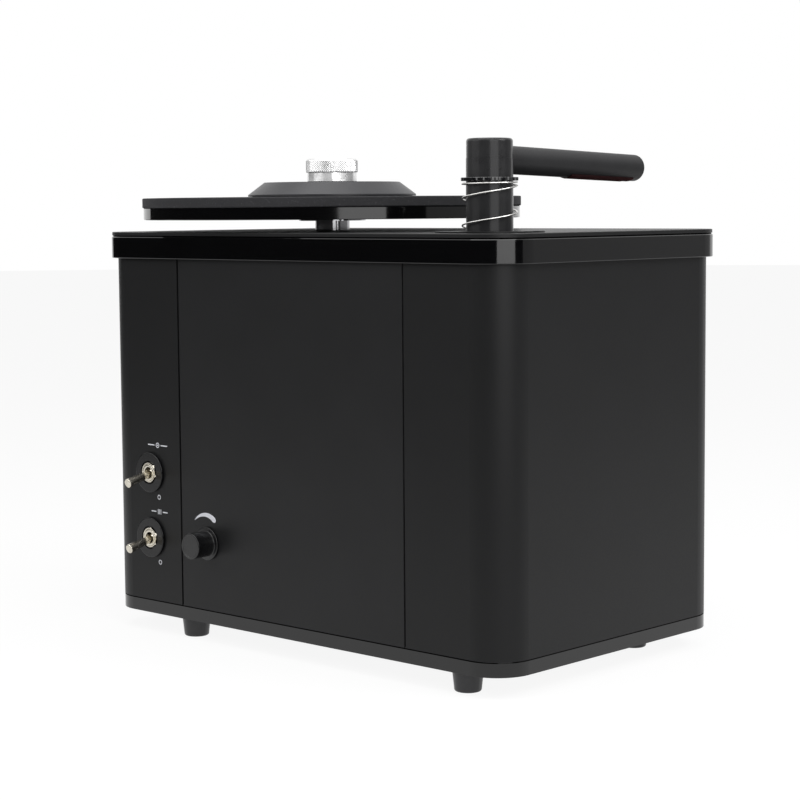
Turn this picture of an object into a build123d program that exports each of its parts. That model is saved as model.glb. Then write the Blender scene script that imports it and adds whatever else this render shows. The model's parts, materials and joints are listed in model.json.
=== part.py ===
"""Record cleaning machine: a cabinet with a turntable, a record clamp and a vacuum arm.

Millimetres. +Z is up, +X runs to the right along the front, +Y to the back. The origin is
the centre of the base plate's underside; the feet reach below it.
"""
import os
from math import cos, pi, radians, sin, sqrt

from build123d import *

os.makedirs("parts", exist_ok=True)

# ---------------------------------------------------------------- clearances
touch = 0.05            # glued, screwed or pressed pieces of one body
running_fit = 0.05      # radial, between a shaft and its bearing
moving_gap = 0.3        # between faces of pieces that move past each other

# ---------------------------------------------------------------- cabinet
cabinet_width = 380.0
cabinet_depth = 235.0
corner_radius = 26.0
wall = 2.0
base_thickness = 9.0
base_step_height = 0.8      # the dark line between the base plate and the walls
base_step_inset = 1.5
wall_height = 258.2
side_shell_reach = 80.8     # from a side to that shell's edges beside the centre panels
seam_gap = 1.4              # the thin dark grooves beside the centre panels
panel_edge_radius = 0.4
joint_strip_width = 36.0
joint_strip_depth = 8.0

cover_overhang = 4.5
cover_web = 5.5
cover_skirt_drop = 10.8     # how far the cover's rim reaches down past the walls' top
cover_chamfer = 1.4
cover_lower_radius = 0.6
cover_fit = 0.2
top_plate_thickness = 2.5
top_plate_inset = 0.4
top_plate_edge_radius = 0.6

wall_bottom = base_thickness + base_step_height
wall_top = wall_bottom + wall_height
cover_top = wall_top + cover_web
deck_top = cover_top + top_plate_thickness
front_y = -cabinet_depth / 2
rear_y = cabinet_depth / 2
seam_x = cabinet_width / 2 - side_shell_reach - seam_gap / 2
centre_panel_width = 2 * seam_x - seam_gap
joint_strip_y = cabinet_depth / 2 - wall - joint_strip_depth / 2

# ---------------------------------------------------------------- screws
machine_screw_radius = 2.5
machine_screw_length = 16.0
machine_screw_head_radius = 4.8
joint_screw_offset = 13.5   # from the seam towards the middle of the joint strip
small_screw_radius = 1.5
small_screw_head_radius = 2.8
small_screw_head_height = 1.6

# ---------------------------------------------------------------- feet
foot_height = 14.0
foot_top_radius = 10.2
foot_bottom_radius = 8.7
foot_edge_radius = 1.5
foot_bore_radius = 2.2
foot_recess_radius = 4.6
foot_recess_depth = 8.0
foot_left_inset = 80.0      # from the cabinet's sides to the feet's centres
foot_right_inset = 40.0
foot_front_inset = 14.0
foot_rear_inset = 45.5
foot_screw_radius = 2.0
foot_screw_head_radius = 3.9
foot_screw_head_height = 2.6
foot_screw_grip = 6.0       # thread inside the base plate

foot_left_x = foot_left_inset - cabinet_width / 2
foot_right_x = cabinet_width / 2 - foot_right_inset
foot_front_y = front_y + foot_front_inset
foot_rear_y = rear_y - foot_rear_inset

# ---------------------------------------------------------------- turntable
spindle_inset = 119.5       # from the left side to the spindle
spindle_y = 0.0
deck_gap = 7.0              # from the deck to the hub's flange
lower_disc_thickness = 8.5
upper_disc_radius = 138.0
disc_step = 0.8             # the upper disc's rim stands out past the lower one
upper_disc_thickness = 7.0
upper_disc_edge_radius = 0.8
lower_disc_chamfer = 0.4
hub_flange_radius = 24.5
hub_flange_thickness = 1.5
hub_collar_radius = 12.65
hub_collar_sink = 5.5       # how far the collar goes down into the deck
hub_boss_radius = 10.0
hub_boss_recess = 0.4
shaft_radius = 6.0
shaft_length = 66.0         # below the collar
pin_radius = 3.55           # a record's centre hole is 7.24 mm across
pin_rise = 16.5             # above the upper disc
pin_tip_radius = 1.4

bearing_flange_radius = 28.0
bearing_flange_thickness = 5.0
bearing_body_radius = 15.0
bearing_length = 40.0
bush_wall = 3.0
bush_length = 12.0
bush_recess = 1.0
thrust_washer_thickness = 1.0
coupling_radius = 13.0
coupling_length = 30.0
coupling_clearance = 2.0    # above the gearbox's face
motor_shaft_radius = 4.0
gearbox_radius = 30.0
gearbox_height = 32.0
motor_radius = 26.0
motor_height = 48.0
motor_shaft_bore_depth = 12.0
motor_plate_size = 84.0
motor_plate_thickness = 3.0
motor_plate_hole_radius = 14.5
standoff_radius = 5.0
standoff_pitch = 64.0

spindle_x = spindle_inset - cabinet_width / 2
lower_disc_radius = upper_disc_radius - disc_step
disc_bottom = deck_top + deck_gap + hub_flange_thickness
upper_disc_bottom = disc_bottom + lower_disc_thickness
platter_top = upper_disc_bottom + upper_disc_thickness
hub_collar_bottom = deck_top - hub_collar_sink
shaft_bottom = hub_collar_bottom - shaft_length
washer_top = hub_collar_bottom - moving_gap
bearing_top = washer_top - thrust_washer_thickness
bearing_bottom = bearing_top - bearing_length
bush_outer_radius = shaft_radius + running_fit + bush_wall
coupling_top = shaft_bottom + coupling_length / 2
coupling_bottom = coupling_top - coupling_length
motor_plate_bottom = coupling_bottom - coupling_clearance
gearbox_top = motor_plate_bottom
gearbox_bottom = gearbox_top - gearbox_height
motor_shaft_bottom = gearbox_top - motor_shaft_bore_depth
motor_shaft_top = shaft_bottom - moving_gap

# ---------------------------------------------------------------- record clamp
clamp_radius = 61.4
clamp_lip_height = 1.2
clamp_flat_radius = 49.5
clamp_height = 10.1
clamp_recess_radius = 50.0
clamp_recess_depth = 2.0
clamp_bottom_gap = 0.5      # the seal stands this far below the clamp
seal_inner_radius = 53.0
seal_outer_radius = 58.5
seal_thickness = 2.0
collet_wall = 2.6
collet_slit = 0.8
collet_slits = 4
collet_bush_radius = 9.0
knob_neck_radius = 18.1
knob_neck_height = 6.8
knob_grip_radius = 19.05
knob_grip_height = 9.8
knob_edge_chamfer = 1.0
knob_dish_radius = 12.0
knob_dish_depth = 0.8
knob_roof = 7.0             # metal above the collet

seal_bottom = platter_top + moving_gap
clamp_bottom = seal_bottom + clamp_bottom_gap
clamp_top = clamp_bottom + clamp_height
collet_inner_radius = pin_radius + running_fit
collet_outer_radius = collet_inner_radius + collet_wall
collet_bottom = clamp_bottom + clamp_recess_depth
knob_bottom = clamp_top + moving_gap
knob_top = knob_bottom + knob_neck_height + knob_grip_height
knob_bore_radius = collet_outer_radius + running_fit
knob_bore_top = knob_top - knob_roof
collet_top = knob_bore_top - moving_gap

# ---------------------------------------------------------------- vacuum post and arm
post_side_inset = 44.0      # from the right side to the post
post_front_inset = 41.5
post_radius = 15.0
post_wall = 2.0
post_rise = 46.7            # deck to the seam under the cap
post_drop = 110.0           # below the deck, down into the tank
cap_height = 12.7
cap_radius = 14.8
cap_roof = 3.0
cap_edge_radius = 2.0
post_flange_radius = 35.0
post_flange_thickness = 1.0
well_radius = 20.0          # the opening round the spring
collar_radius = 18.2
collar_height = 2.2
collar_drop = 11.9          # from the seam down to the collar's top
guide_body_radius = 25.0
guide_flange_radius = 34.0
guide_flange_thickness = 5.0
guide_floor_depth = 6.0     # from the guide's top down to the turning bush
guide_length = 42.0
turning_bush_wall = 3.4
turning_bush_flange_radius = 19.6
turning_bush_flange = 3.0
stop_ring_radius = 17.8
stop_ring_height = 2.0

arm_radius = 9.1
arm_wall = 1.5
arm_rest_angle = 3.7        # degrees inwards from straight back
arm_droop = 1.45            # degrees below the horizontal
arm_reach = 167.3           # post axis to the arm's tip
arm_drop = 0.2              # the arm's axis below the seam at the post
arm_start = 10.6            # post axis to the open end inside the post head
arm_tip_length = 8.0
arm_tip_radius = 1.2
arm_tip_spigot = 6.0
suction_slot_width = 3.0
suction_slot_length = 71.0
suction_slot_end = 3.0      # from the tip's joint to the slot
velvet_thickness = 1.2
velvet_inner_angle = 12.0   # degrees either side of straight down
velvet_outer_angle = 40.0
velvet_overrun = 2.0
elbow_foot = 12.0           # below the arm's axis
elbow_bore_radius = 8.0

post_x = cabinet_width / 2 - post_side_inset
post_y = front_y + post_front_inset
seam_z = deck_top + post_rise
cap_top = seam_z + cap_height
post_bottom = deck_top - post_drop
post_inner_radius = post_radius - post_wall
collar_top = seam_z - collar_drop
collar_bottom = collar_top - collar_height
guide_top = wall_top
guide_bottom = guide_top - guide_length
bush_seat = guide_top - guide_floor_depth
turning_bush_radius = post_radius + running_fit + turning_bush_wall
turning_bush_bottom = guide_bottom
spring_seat = bush_seat + turning_bush_flange
arm_axis_z = seam_z - arm_drop
arm_joint = arm_reach - arm_tip_length      # where the tip piece meets the tube

# ---------------------------------------------------------------- spring
spring_wire = 1.1
spring_coil_radius = 17.4   # to the middle of the wire
spring_turns = 4.5
closed_turns = 1            # at each end
closed_pitch = 1.5
spring_start_angle = 265.0  # degrees from +X, where the wire's lower end stands

# ---------------------------------------------------------------- toggle switches
switch_inset = 48.5         # from the left side to the switches
turntable_switch_z = 103.0
vacuum_switch_z = 55.6
switch_disc_radius = 14.5
switch_disc_thickness = 2.0
switch_disc_edge_radius = 0.6
switch_thread_radius = 6.0
switch_nut_flats = 14.0
switch_nut_thickness = 1.8
switch_recess_radius = 8.5  # the disc's recess, which the nut sits in
switch_recess_depth = 1.6
switch_thread_proud = 0.3   # thread in front of the nut
switch_bore_radius = 3.9
switch_bore_depth = 12.0
switch_body_width = 16.0
switch_body_height = 29.0
switch_body_depth = 24.0
switch_tag_width = 6.0
switch_tag_thickness = 0.8
switch_tag_length = 8.0
switch_tag_pitch = 9.0
lever_pivot_depth = 5.0     # behind the thread's end
lever_ball_radius = 3.5
lever_neck_radius = 1.9
lever_tip_radius = 3.05
lever_length = 25.0
lever_edge_chamfer = 0.4
lever_angle = 14.0          # degrees below straight out, the off position

switch_x = switch_inset - cabinet_width / 2

# ---------------------------------------------------------------- level knob
knob_seam_inset = 27.8      # from the left seam to the level knob
knob_z = 57.5
dial_face_radius = 9.15
dial_root_radius = 8.9
dial_skirt_radius = 11.7
dial_skirt_thickness = 1.6
dial_height = 16.6
dial_edge_chamfer = 0.6
dial_bore_depth = 11.0
pot_shaft_radius = 3.0
pot_thread_radius = 4.5
pot_thread_length = 7.0
pot_nut_flats = 12.0
pot_nut_thickness = 2.0
pot_body_radius = 8.5
pot_body_depth = 10.0
dial_recess_radius = 7.4
dial_recess_depth = 5.4
pot_shaft_tail = 4.0

knob_x = knob_seam_inset - seam_x

# ---------------------------------------------------------------- tank and vacuum
tank_width = 72.0
tank_rear_gap = 59.0        # from the tank to the back
tank_height = 172.0
tank_wall = 3.0
tank_corner_radius = 12.0
tank_lid_thickness = 4.0
tank_strip_gap = 1.0        # behind the front joint strips
tank_seal_radius = 20.0
tank_seal_thickness = 3.0
hose_radius = 10.0
hose_wall = 2.0
hose_bend_radius = 20.0
hose_rise = 34.0
hose_offset = 19.0          # from the tank's middle to the hose
hose_front_inset = 77.5     # from the back to the hose's two uprights
hose_rear_inset = 35.5
hose_port_z = 50.0
hose_spigot_length = 14.0
vacuum_x = 26.0
vacuum_rear_inset = 81.5    # from the back to the motor's axis
fan_radius = 58.0
fan_height = 60.0
fan_edge_radius = 8.0
vacuum_can_radius = 42.0
vacuum_can_height = 66.0
vacuum_cap_radius = 34.0
vacuum_cap_height = 16.0
vacuum_mount_height = 9.0
vacuum_mount_inner_radius = 40.0
vacuum_mount_outer_radius = 54.0

tank_x = post_x
tank_front_y = front_y + wall + joint_strip_depth + tank_strip_gap
tank_depth = rear_y - tank_rear_gap - tank_front_y
tank_y = tank_front_y + tank_depth / 2
hose_x = tank_x + hose_offset
hose_front_y = rear_y - hose_front_inset
hose_rear_y = rear_y - hose_rear_inset
vacuum_y = rear_y - vacuum_rear_inset
tank_bottom = wall_bottom
tank_top = tank_bottom + tank_height
lid_top = tank_top + tank_lid_thickness
fan_bottom = wall_bottom + vacuum_mount_height
fan_top = fan_bottom + fan_height
vacuum_can_top = fan_top + vacuum_can_height

# ---------------------------------------------------------------- drain
drain_offset = 4.0          # from the tank's middle to the drain
drain_z = 24.0
drain_bore_radius = 3.5
drain_tube_radius = 5.0
drain_hose_radius = 7.0
drain_flange_radius = 10.0
drain_tip_chamfer = 0.6
drain_nut_flats = 20.0
drain_nut_thickness = 4.0
drain_flange_thickness = 3.0
drain_spout_length = 20.0
drain_tail_length = 14.0
drain_tank_tail = 12.0
drain_cap_wall = 2.0
drain_cap_length = 14.0

drain_x = tank_x - drain_offset

# ---------------------------------------------------------------- mains inlet
inlet_seam_inset = 33.5      # from the left seam to the inlet
inlet_z = 52.0
inlet_flange_width = 50.0
inlet_flange_height = 23.0
inlet_flange_thickness = 3.0
inlet_flange_radius = 5.0
inlet_body_width = 27.6
inlet_body_height = 19.8
inlet_body_radius = 2.5
inlet_body_depth = 22.0
inlet_socket_width = 24.0
inlet_socket_height = 16.2
inlet_socket_depth = 17.0
inlet_socket_chamfer = 4.5
inlet_pin_width = 2.0
inlet_pin_height = 4.0
inlet_pin_length = 15.0
inlet_pin_pitch = 14.0
inlet_pin_offset = 2.0
inlet_screw_pitch = 40.0
inlet_cutout_gap = 0.2

inlet_x = inlet_seam_inset - seam_x

# ---------------------------------------------------------------- exhaust slots
exhaust_bottom_z = 34.0
exhaust_slots = 9
exhaust_pitch = 9.0
exhaust_slot_length = 70.0
exhaust_slot_height = 3.4

# ---------------------------------------------------------------- control board
board_left_inset = 60.0     # from the left side and the back to the board's middle
board_rear_inset = 77.5
board_width = 70.0
board_depth = 90.0
board_thickness = 1.6
board_height = 8.0          # above the base plate
board_standoff_radius = 3.0
board_standoff_inset = 6.0
heatsink_width = 30.0
heatsink_depth = 40.0
heatsink_height = 28.0
heatsink_base = 4.0
heatsink_fins = 6
heatsink_fin = 1.6
terminal_width = 50.0
terminal_depth = 9.0
terminal_height = 11.0

board_x = board_left_inset - cabinet_width / 2
board_y = rear_y - board_rear_inset


def save(piece, label):
    """Label a finished piece and write it to its own file."""
    piece.part.label = label
    export_step(piece.part, f"parts/{label}.step")


def facing_front(x, z, y=front_y):
    """Plane on the front, looking out of it: local x is +X and local y is +Z."""
    return Plane(origin=(x, y, z), x_dir=(1, 0, 0), z_dir=(0, -1, 0))


def facing_rear(x, z, y=rear_y):
    """Plane on the back, looking out of it: local x is -X and local y is +Z."""
    return Plane(origin=(x, y, z), x_dir=(-1, 0, 0), z_dir=(0, 1, 0))


def upright(x, y):
    """Plane for a turned profile about a vertical axis: radius across, height up."""
    return Plane(origin=(x, y, 0), x_dir=(1, 0, 0), z_dir=(0, -1, 0))


def vertical_axis(x, y):
    return Axis((x, y, 0), (0, 0, 1))


def ring(centre, outer_radius, inner_radius, bottom, top):
    """A plain ring about a vertical axis."""
    with BuildPart() as piece:
        with BuildSketch(Plane.XY.offset(bottom)):
            with Locations(centre):
                Circle(outer_radius)
                Circle(inner_radius, mode=Mode.SUBTRACT)
        extrude(amount=top - bottom)
    return piece


spindle = (spindle_x, spindle_y)
post = (post_x, post_y)
switches = {"turntable": turntable_switch_z, "vacuum": vacuum_switch_z}
foot_places = [(x, y) for x in (foot_left_x, foot_right_x) for y in (foot_front_y, foot_rear_y)]
joint_screw_x = seam_x - joint_screw_offset
joint_screw_places = [
    (x, y) for x in (-joint_screw_x, joint_screw_x) for y in (-joint_strip_y, joint_strip_y)
]

# ================================================================ cabinet
with BuildPart() as base_plate:
    with BuildSketch():
        RectangleRounded(cabinet_width, cabinet_depth, corner_radius)
    extrude(amount=base_thickness)
    with BuildSketch(Plane.XY.offset(base_thickness)):
        RectangleRounded(
            cabinet_width - 2 * base_step_inset,
            cabinet_depth - 2 * base_step_inset,
            corner_radius - base_step_inset,
        )
    extrude(amount=base_step_height)
    with BuildSketch():
        with Locations(*foot_places):
            Circle(foot_screw_radius + touch)
    extrude(amount=foot_screw_grip + touch, mode=Mode.SUBTRACT)
    with Locations(Plane((0, 0, 0), z_dir=(0, 0, -1))):
        with Locations(*[(x, -y) for x, y in joint_screw_places]):
            CounterSinkHole(
                machine_screw_radius + touch, machine_screw_head_radius + touch, counter_sink_angle=90
            )
save(base_plate, "base_plate")

with BuildPart() as feet:
    for x, y in foot_places:
        with BuildSketch(upright(x, y)):
            with BuildLine():
                Polyline(
                    (foot_bore_radius, 0),
                    (foot_top_radius, 0),
                    (foot_bottom_radius, -foot_height),
                    (foot_recess_radius, -foot_height),
                    (foot_recess_radius, foot_recess_depth - foot_height),
                    (foot_bore_radius, foot_recess_depth - foot_height),
                    close=True,
                )
            make_face()
        revolve(axis=vertical_axis(x, y))
    ground_circles = feet.edges().filter_by(GeomType.CIRCLE).group_by(Axis.Z)[0]
    ground_edges = ground_circles.group_by(SortBy.RADIUS)[-1]
    fillet(ground_edges, radius=foot_edge_radius)
save(feet, "feet")

with BuildPart() as foot_screws:
    with BuildSketch(Plane.XY.offset(foot_recess_depth - foot_height - foot_screw_head_height)):
        with Locations(*foot_places):
            Circle(foot_screw_head_radius)
    extrude(amount=foot_screw_head_height)
    with BuildSketch(Plane.XY.offset(foot_recess_depth - foot_height)):
        with Locations(*foot_places):
            Circle(foot_screw_radius)
    extrude(amount=foot_height - foot_recess_depth + foot_screw_grip)
save(foot_screws, "foot_screws")

for name, side in (("left", -1), ("right", 1)):
    inner_limit = seam_x + seam_gap / 2
    with BuildPart() as side_shell:
        with BuildSketch(Plane.XY.offset(wall_bottom)):
            RectangleRounded(cabinet_width, cabinet_depth, corner_radius)
            RectangleRounded(
                cabinet_width - 2 * wall, cabinet_depth - 2 * wall, corner_radius - wall, mode=Mode.SUBTRACT
            )
            with Locations((side * (inner_limit - cabinet_width), 0)):
                Rectangle(2 * cabinet_width, 2 * cabinet_depth, mode=Mode.SUBTRACT)
        extrude(amount=wall_height)
        if side < 0:
            for switch_z in switches.values():
                with BuildSketch(facing_front(switch_x, switch_z)):
                    Circle(switch_thread_radius + touch)
                extrude(amount=-wall, mode=Mode.SUBTRACT)
        else:
            with BuildSketch(facing_rear(drain_x, drain_z)):
                Circle(drain_tube_radius + touch)
            extrude(amount=-wall, mode=Mode.SUBTRACT)
    save(side_shell, f"side_shell_{name}")

for name, y, side in (("front", front_y, 1), ("rear", rear_y, -1)):
    with BuildPart() as centre_panel:
        with BuildSketch(Plane.XY.offset(wall_bottom)):
            with Locations((0, y + side * wall / 2)):
                Rectangle(centre_panel_width, wall)
        extrude(amount=wall_height)
        fillet(
            centre_panel.edges().filter_by(Axis.Z).sort_by(Axis.Y, reverse=side < 0)[:2],
            radius=panel_edge_radius,
        )
        if name == "front":
            with BuildSketch(facing_front(knob_x, knob_z)):
                Circle(pot_thread_radius + touch)
            extrude(amount=-wall, mode=Mode.SUBTRACT)
        else:
            with BuildSketch(facing_rear(vacuum_x, exhaust_bottom_z)):
                with Locations(*[(0, row * exhaust_pitch) for row in range(exhaust_slots)]):
                    SlotOverall(exhaust_slot_length, exhaust_slot_height)
            extrude(amount=-wall, mode=Mode.SUBTRACT)
            with BuildSketch(facing_rear(inlet_x, inlet_z)):
                RectangleRounded(
                    inlet_body_width + 2 * inlet_cutout_gap,
                    inlet_body_height + 2 * inlet_cutout_gap,
                    inlet_body_radius + inlet_cutout_gap,
                )
                with Locations((-inlet_screw_pitch / 2, 0), (inlet_screw_pitch / 2, 0)):
                    Circle(small_screw_radius + touch)
            extrude(amount=-wall, mode=Mode.SUBTRACT)
    save(centre_panel, f"{name}_panel")

with BuildPart() as joint_strips:
    with BuildSketch(Plane.XY.offset(wall_bottom)):
        with GridLocations(2 * seam_x, 2 * joint_strip_y, 2, 2):
            Rectangle(joint_strip_width, joint_strip_depth)
        with Locations(*joint_screw_places):
            Circle(machine_screw_radius + touch, mode=Mode.SUBTRACT)
    extrude(amount=wall_height)
save(joint_strips, "joint_strips")

with BuildPart() as top_cover:
    with BuildSketch(Plane.XY.offset(cover_top)):
        RectangleRounded(
            cabinet_width + 2 * cover_overhang,
            cabinet_depth + 2 * cover_overhang,
            corner_radius + cover_overhang,
        )
    extrude(amount=-(cover_web + cover_skirt_drop))
    chamfer(top_cover.faces().sort_by(Axis.Z)[-1].edges(), length=cover_chamfer)
    fillet(top_cover.faces().sort_by(Axis.Z)[0].edges(), radius=cover_lower_radius)
    with BuildSketch(Plane.XY.offset(wall_top - cover_skirt_drop)):
        RectangleRounded(
            cabinet_width + 2 * cover_fit, cabinet_depth + 2 * cover_fit, corner_radius + cover_fit
        )
    extrude(amount=cover_skirt_drop, mode=Mode.SUBTRACT)
    with BuildSketch(Plane.XY.offset(wall_top)):
        with Locations(spindle):
            Circle(bearing_body_radius + touch)
        with Locations(post):
            Circle(well_radius)
    extrude(amount=cover_web, mode=Mode.SUBTRACT)
    with Locations(Plane.XY.offset(cover_top)):
        with Locations(*joint_screw_places):
            CounterSinkHole(
                machine_screw_radius + touch, machine_screw_head_radius + touch, counter_sink_angle=90
            )
save(top_cover, "top_cover")

with BuildPart() as machine_screws:
    cone_height = machine_screw_head_radius - machine_screw_radius
    for x, y in joint_screw_places:
        for head_z, inward in ((0, 1), (cover_top, -1)):
            with BuildSketch(upright(x, y)):
                with BuildLine():
                    Polyline(
                        (0, head_z),
                        (machine_screw_head_radius, head_z),
                        (machine_screw_radius, head_z + inward * cone_height),
                        (machine_screw_radius, head_z + inward * machine_screw_length),
                        (0, head_z + inward * machine_screw_length),
                        close=True,
                    )
                make_face()
            revolve(axis=vertical_axis(x, y))
save(machine_screws, "machine_screws")

with BuildPart() as top_plate:
    with BuildSketch(Plane.XY.offset(cover_top)):
        RectangleRounded(
            cabinet_width + 2 * (cover_overhang - top_plate_inset),
            cabinet_depth + 2 * (cover_overhang - top_plate_inset),
            corner_radius + cover_overhang - top_plate_inset,
        )
        with Locations(spindle):
            Circle(bearing_body_radius + touch, mode=Mode.SUBTRACT)
        with Locations(post):
            Circle(well_radius, mode=Mode.SUBTRACT)
    extrude(amount=top_plate_thickness)
    rim_edges = top_plate.faces().sort_by(Axis.Z)[-1].outer_wire().edges()
    fillet(rim_edges, radius=top_plate_edge_radius)
save(top_plate, "top_plate")

# ================================================================ turntable
with BuildPart() as spindle_bearing:
    with BuildSketch(upright(*spindle)):
        with BuildLine():
            Polyline(
                (shaft_radius + bush_wall - bush_recess, bearing_bottom + bush_length),
                (shaft_radius + bush_wall - bush_recess, bearing_top - bush_length),
                (bush_outer_radius + touch, bearing_top - bush_length),
                (bush_outer_radius + touch, bearing_top),
                (bearing_body_radius, bearing_top),
                (bearing_body_radius, wall_top),
                (bearing_flange_radius, wall_top),
                (bearing_flange_radius, wall_top - bearing_flange_thickness),
                (bearing_body_radius, wall_top - bearing_flange_thickness),
                (bearing_body_radius, bearing_bottom),
                (bush_outer_radius + touch, bearing_bottom),
                (bush_outer_radius + touch, bearing_bottom + bush_length),
                close=True,
            )
        make_face()
    revolve(axis=vertical_axis(*spindle))
save(spindle_bearing, "spindle_bearing")

with BuildPart() as bearing_bushes:
    for bush_bottom in (bearing_bottom, bearing_top - bush_length):
        with BuildSketch(Plane.XY.offset(bush_bottom)):
            with Locations(spindle):
                Circle(bush_outer_radius)
                Circle(shaft_radius + running_fit, mode=Mode.SUBTRACT)
        extrude(amount=bush_length)
save(bearing_bushes, "bearing_bushes")

thrust_washer = ring(spindle, hub_collar_radius, shaft_radius + moving_gap, bearing_top, washer_top)
save(thrust_washer, "thrust_washer")

with BuildPart() as platter_hub:
    with BuildSketch(upright(*spindle)):
        with BuildLine():
            Polyline(
                (pin_radius, platter_top - hub_boss_recess),
                (hub_boss_radius, platter_top - hub_boss_recess),
                (hub_boss_radius, disc_bottom),
                (hub_flange_radius, disc_bottom),
                (hub_flange_radius, disc_bottom - hub_flange_thickness),
                (hub_collar_radius, disc_bottom - hub_flange_thickness),
                (hub_collar_radius, hub_collar_bottom),
                (shaft_radius, hub_collar_bottom),
                (shaft_radius, shaft_bottom),
                (0, shaft_bottom),
                (0, disc_bottom),
                (pin_radius, disc_bottom),
                close=True,
            )
        make_face()
    revolve(axis=vertical_axis(*spindle))
save(platter_hub, "platter_hub")

with BuildPart() as lower_disc:
    with BuildSketch(Plane.XY.offset(disc_bottom)):
        with Locations(spindle):
            Circle(lower_disc_radius)
            Circle(hub_boss_radius + touch, mode=Mode.SUBTRACT)
    extrude(amount=lower_disc_thickness)
    outer_edges = lower_disc.edges().filter_by(GeomType.CIRCLE).sort_by(SortBy.RADIUS)[-2:]
    chamfer(outer_edges, length=lower_disc_chamfer)
save(lower_disc, "platter_lower_disc")

with BuildPart() as upper_disc:
    with BuildSketch(Plane.XY.offset(upper_disc_bottom)):
        with Locations(spindle):
            Circle(upper_disc_radius)
            Circle(hub_boss_radius + touch, mode=Mode.SUBTRACT)
    extrude(amount=upper_disc_thickness)
    outer_edges = upper_disc.edges().filter_by(GeomType.CIRCLE).sort_by(SortBy.RADIUS)[-2:]
    fillet(outer_edges, radius=upper_disc_edge_radius)
save(upper_disc, "platter_upper_disc")

with BuildPart() as record_pin:
    with BuildSketch(Plane.XY.offset(disc_bottom)):
        with Locations(spindle):
            Circle(pin_radius)
    extrude(amount=platter_top - disc_bottom + pin_rise)
    fillet(record_pin.faces().sort_by(Axis.Z)[-1].edges(), radius=pin_tip_radius)
save(record_pin, "record_pin")

with BuildPart() as shaft_coupling:
    with BuildSketch(Plane.XY.offset(coupling_bottom)):
        with Locations(spindle):
            Circle(coupling_radius)
    extrude(amount=coupling_length)
    with BuildSketch(Plane.XY.offset(shaft_bottom)):
        with Locations(spindle):
            Circle(shaft_radius)
    extrude(amount=coupling_top - shaft_bottom, mode=Mode.SUBTRACT)
    with BuildSketch(Plane.XY.offset(coupling_bottom)):
        with Locations(spindle):
            Circle(motor_shaft_radius)
    extrude(amount=motor_shaft_top - coupling_bottom, mode=Mode.SUBTRACT)
save(shaft_coupling, "shaft_coupling")

with BuildPart() as motor_shaft:
    with BuildSketch(Plane.XY.offset(motor_shaft_bottom)):
        with Locations(spindle):
            Circle(motor_shaft_radius)
    extrude(amount=motor_shaft_top - motor_shaft_bottom)
save(motor_shaft, "gear_motor_shaft")

with BuildPart() as gear_motor:
    with BuildSketch(Plane.XY.offset(gearbox_bottom)):
        with Locations(spindle):
            Circle(gearbox_radius)
    extrude(amount=gearbox_height)
    with BuildSketch(Plane.XY.offset(gearbox_bottom - motor_height)):
        with Locations(spindle):
            Circle(motor_radius)
    extrude(amount=motor_height)
    with BuildSketch(Plane.XY.offset(motor_shaft_bottom - moving_gap)):
        with Locations(spindle):
            Circle(motor_shaft_radius + running_fit)
    extrude(amount=motor_shaft_bore_depth + moving_gap, mode=Mode.SUBTRACT)
save(gear_motor, "gear_motor")

standoff_places = [
    (spindle_x + x * standoff_pitch / 2, spindle_y + y * standoff_pitch / 2)
    for x in (-1, 1)
    for y in (-1, 1)
]
with BuildPart() as motor_plate:
    with BuildSketch(Plane.XY.offset(motor_plate_bottom)):
        with Locations(spindle):
            RectangleRounded(motor_plate_size, motor_plate_size, standoff_radius)
            Circle(motor_plate_hole_radius, mode=Mode.SUBTRACT)
        with Locations(*standoff_places):
            Circle(small_screw_radius + touch, mode=Mode.SUBTRACT)
    extrude(amount=motor_plate_thickness)
save(motor_plate, "motor_plate")

with BuildPart() as motor_standoffs:
    with BuildSketch(Plane.XY.offset(motor_plate_bottom + motor_plate_thickness)):
        with Locations(*standoff_places):
            RegularPolygon(standoff_radius, 6)
    extrude(amount=wall_top - motor_plate_bottom - motor_plate_thickness)
    with BuildSketch(Plane.XY.offset(motor_plate_bottom)):
        with Locations(*standoff_places):
            Circle(small_screw_radius)
    extrude(amount=motor_plate_thickness)
    with BuildSketch(Plane.XY.offset(motor_plate_bottom - small_screw_head_height)):
        with Locations(*standoff_places):
            Circle(small_screw_head_radius)
    extrude(amount=small_screw_head_height)
save(motor_standoffs, "motor_standoffs")

# ================================================================ record clamp
with BuildPart() as clamp_cone:
    with BuildSketch(upright(*spindle)):
        with BuildLine():
            Polyline(
                (collet_bush_radius + touch, clamp_bottom + clamp_recess_depth),
                (clamp_recess_radius, clamp_bottom + clamp_recess_depth),
                (clamp_recess_radius, clamp_bottom),
                (seal_inner_radius, clamp_bottom),
                (seal_inner_radius, seal_bottom + seal_thickness),
                (seal_outer_radius, seal_bottom + seal_thickness),
                (seal_outer_radius, clamp_bottom),
                (clamp_radius, clamp_bottom),
                (clamp_radius, clamp_bottom + clamp_lip_height),
                (clamp_flat_radius, clamp_top),
                (collet_outer_radius + touch, clamp_top),
                (collet_outer_radius + touch, clamp_bottom + clamp_height / 2),
                (collet_bush_radius + touch, clamp_bottom + clamp_height / 2),
                close=True,
            )
        make_face()
    revolve(axis=vertical_axis(*spindle))
save(clamp_cone, "clamp_cone")

seal_top = seal_bottom + seal_thickness
clamp_seal = ring(spindle, seal_outer_radius - touch, seal_inner_radius + touch, seal_bottom, seal_top)
save(clamp_seal, "clamp_seal")

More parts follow.
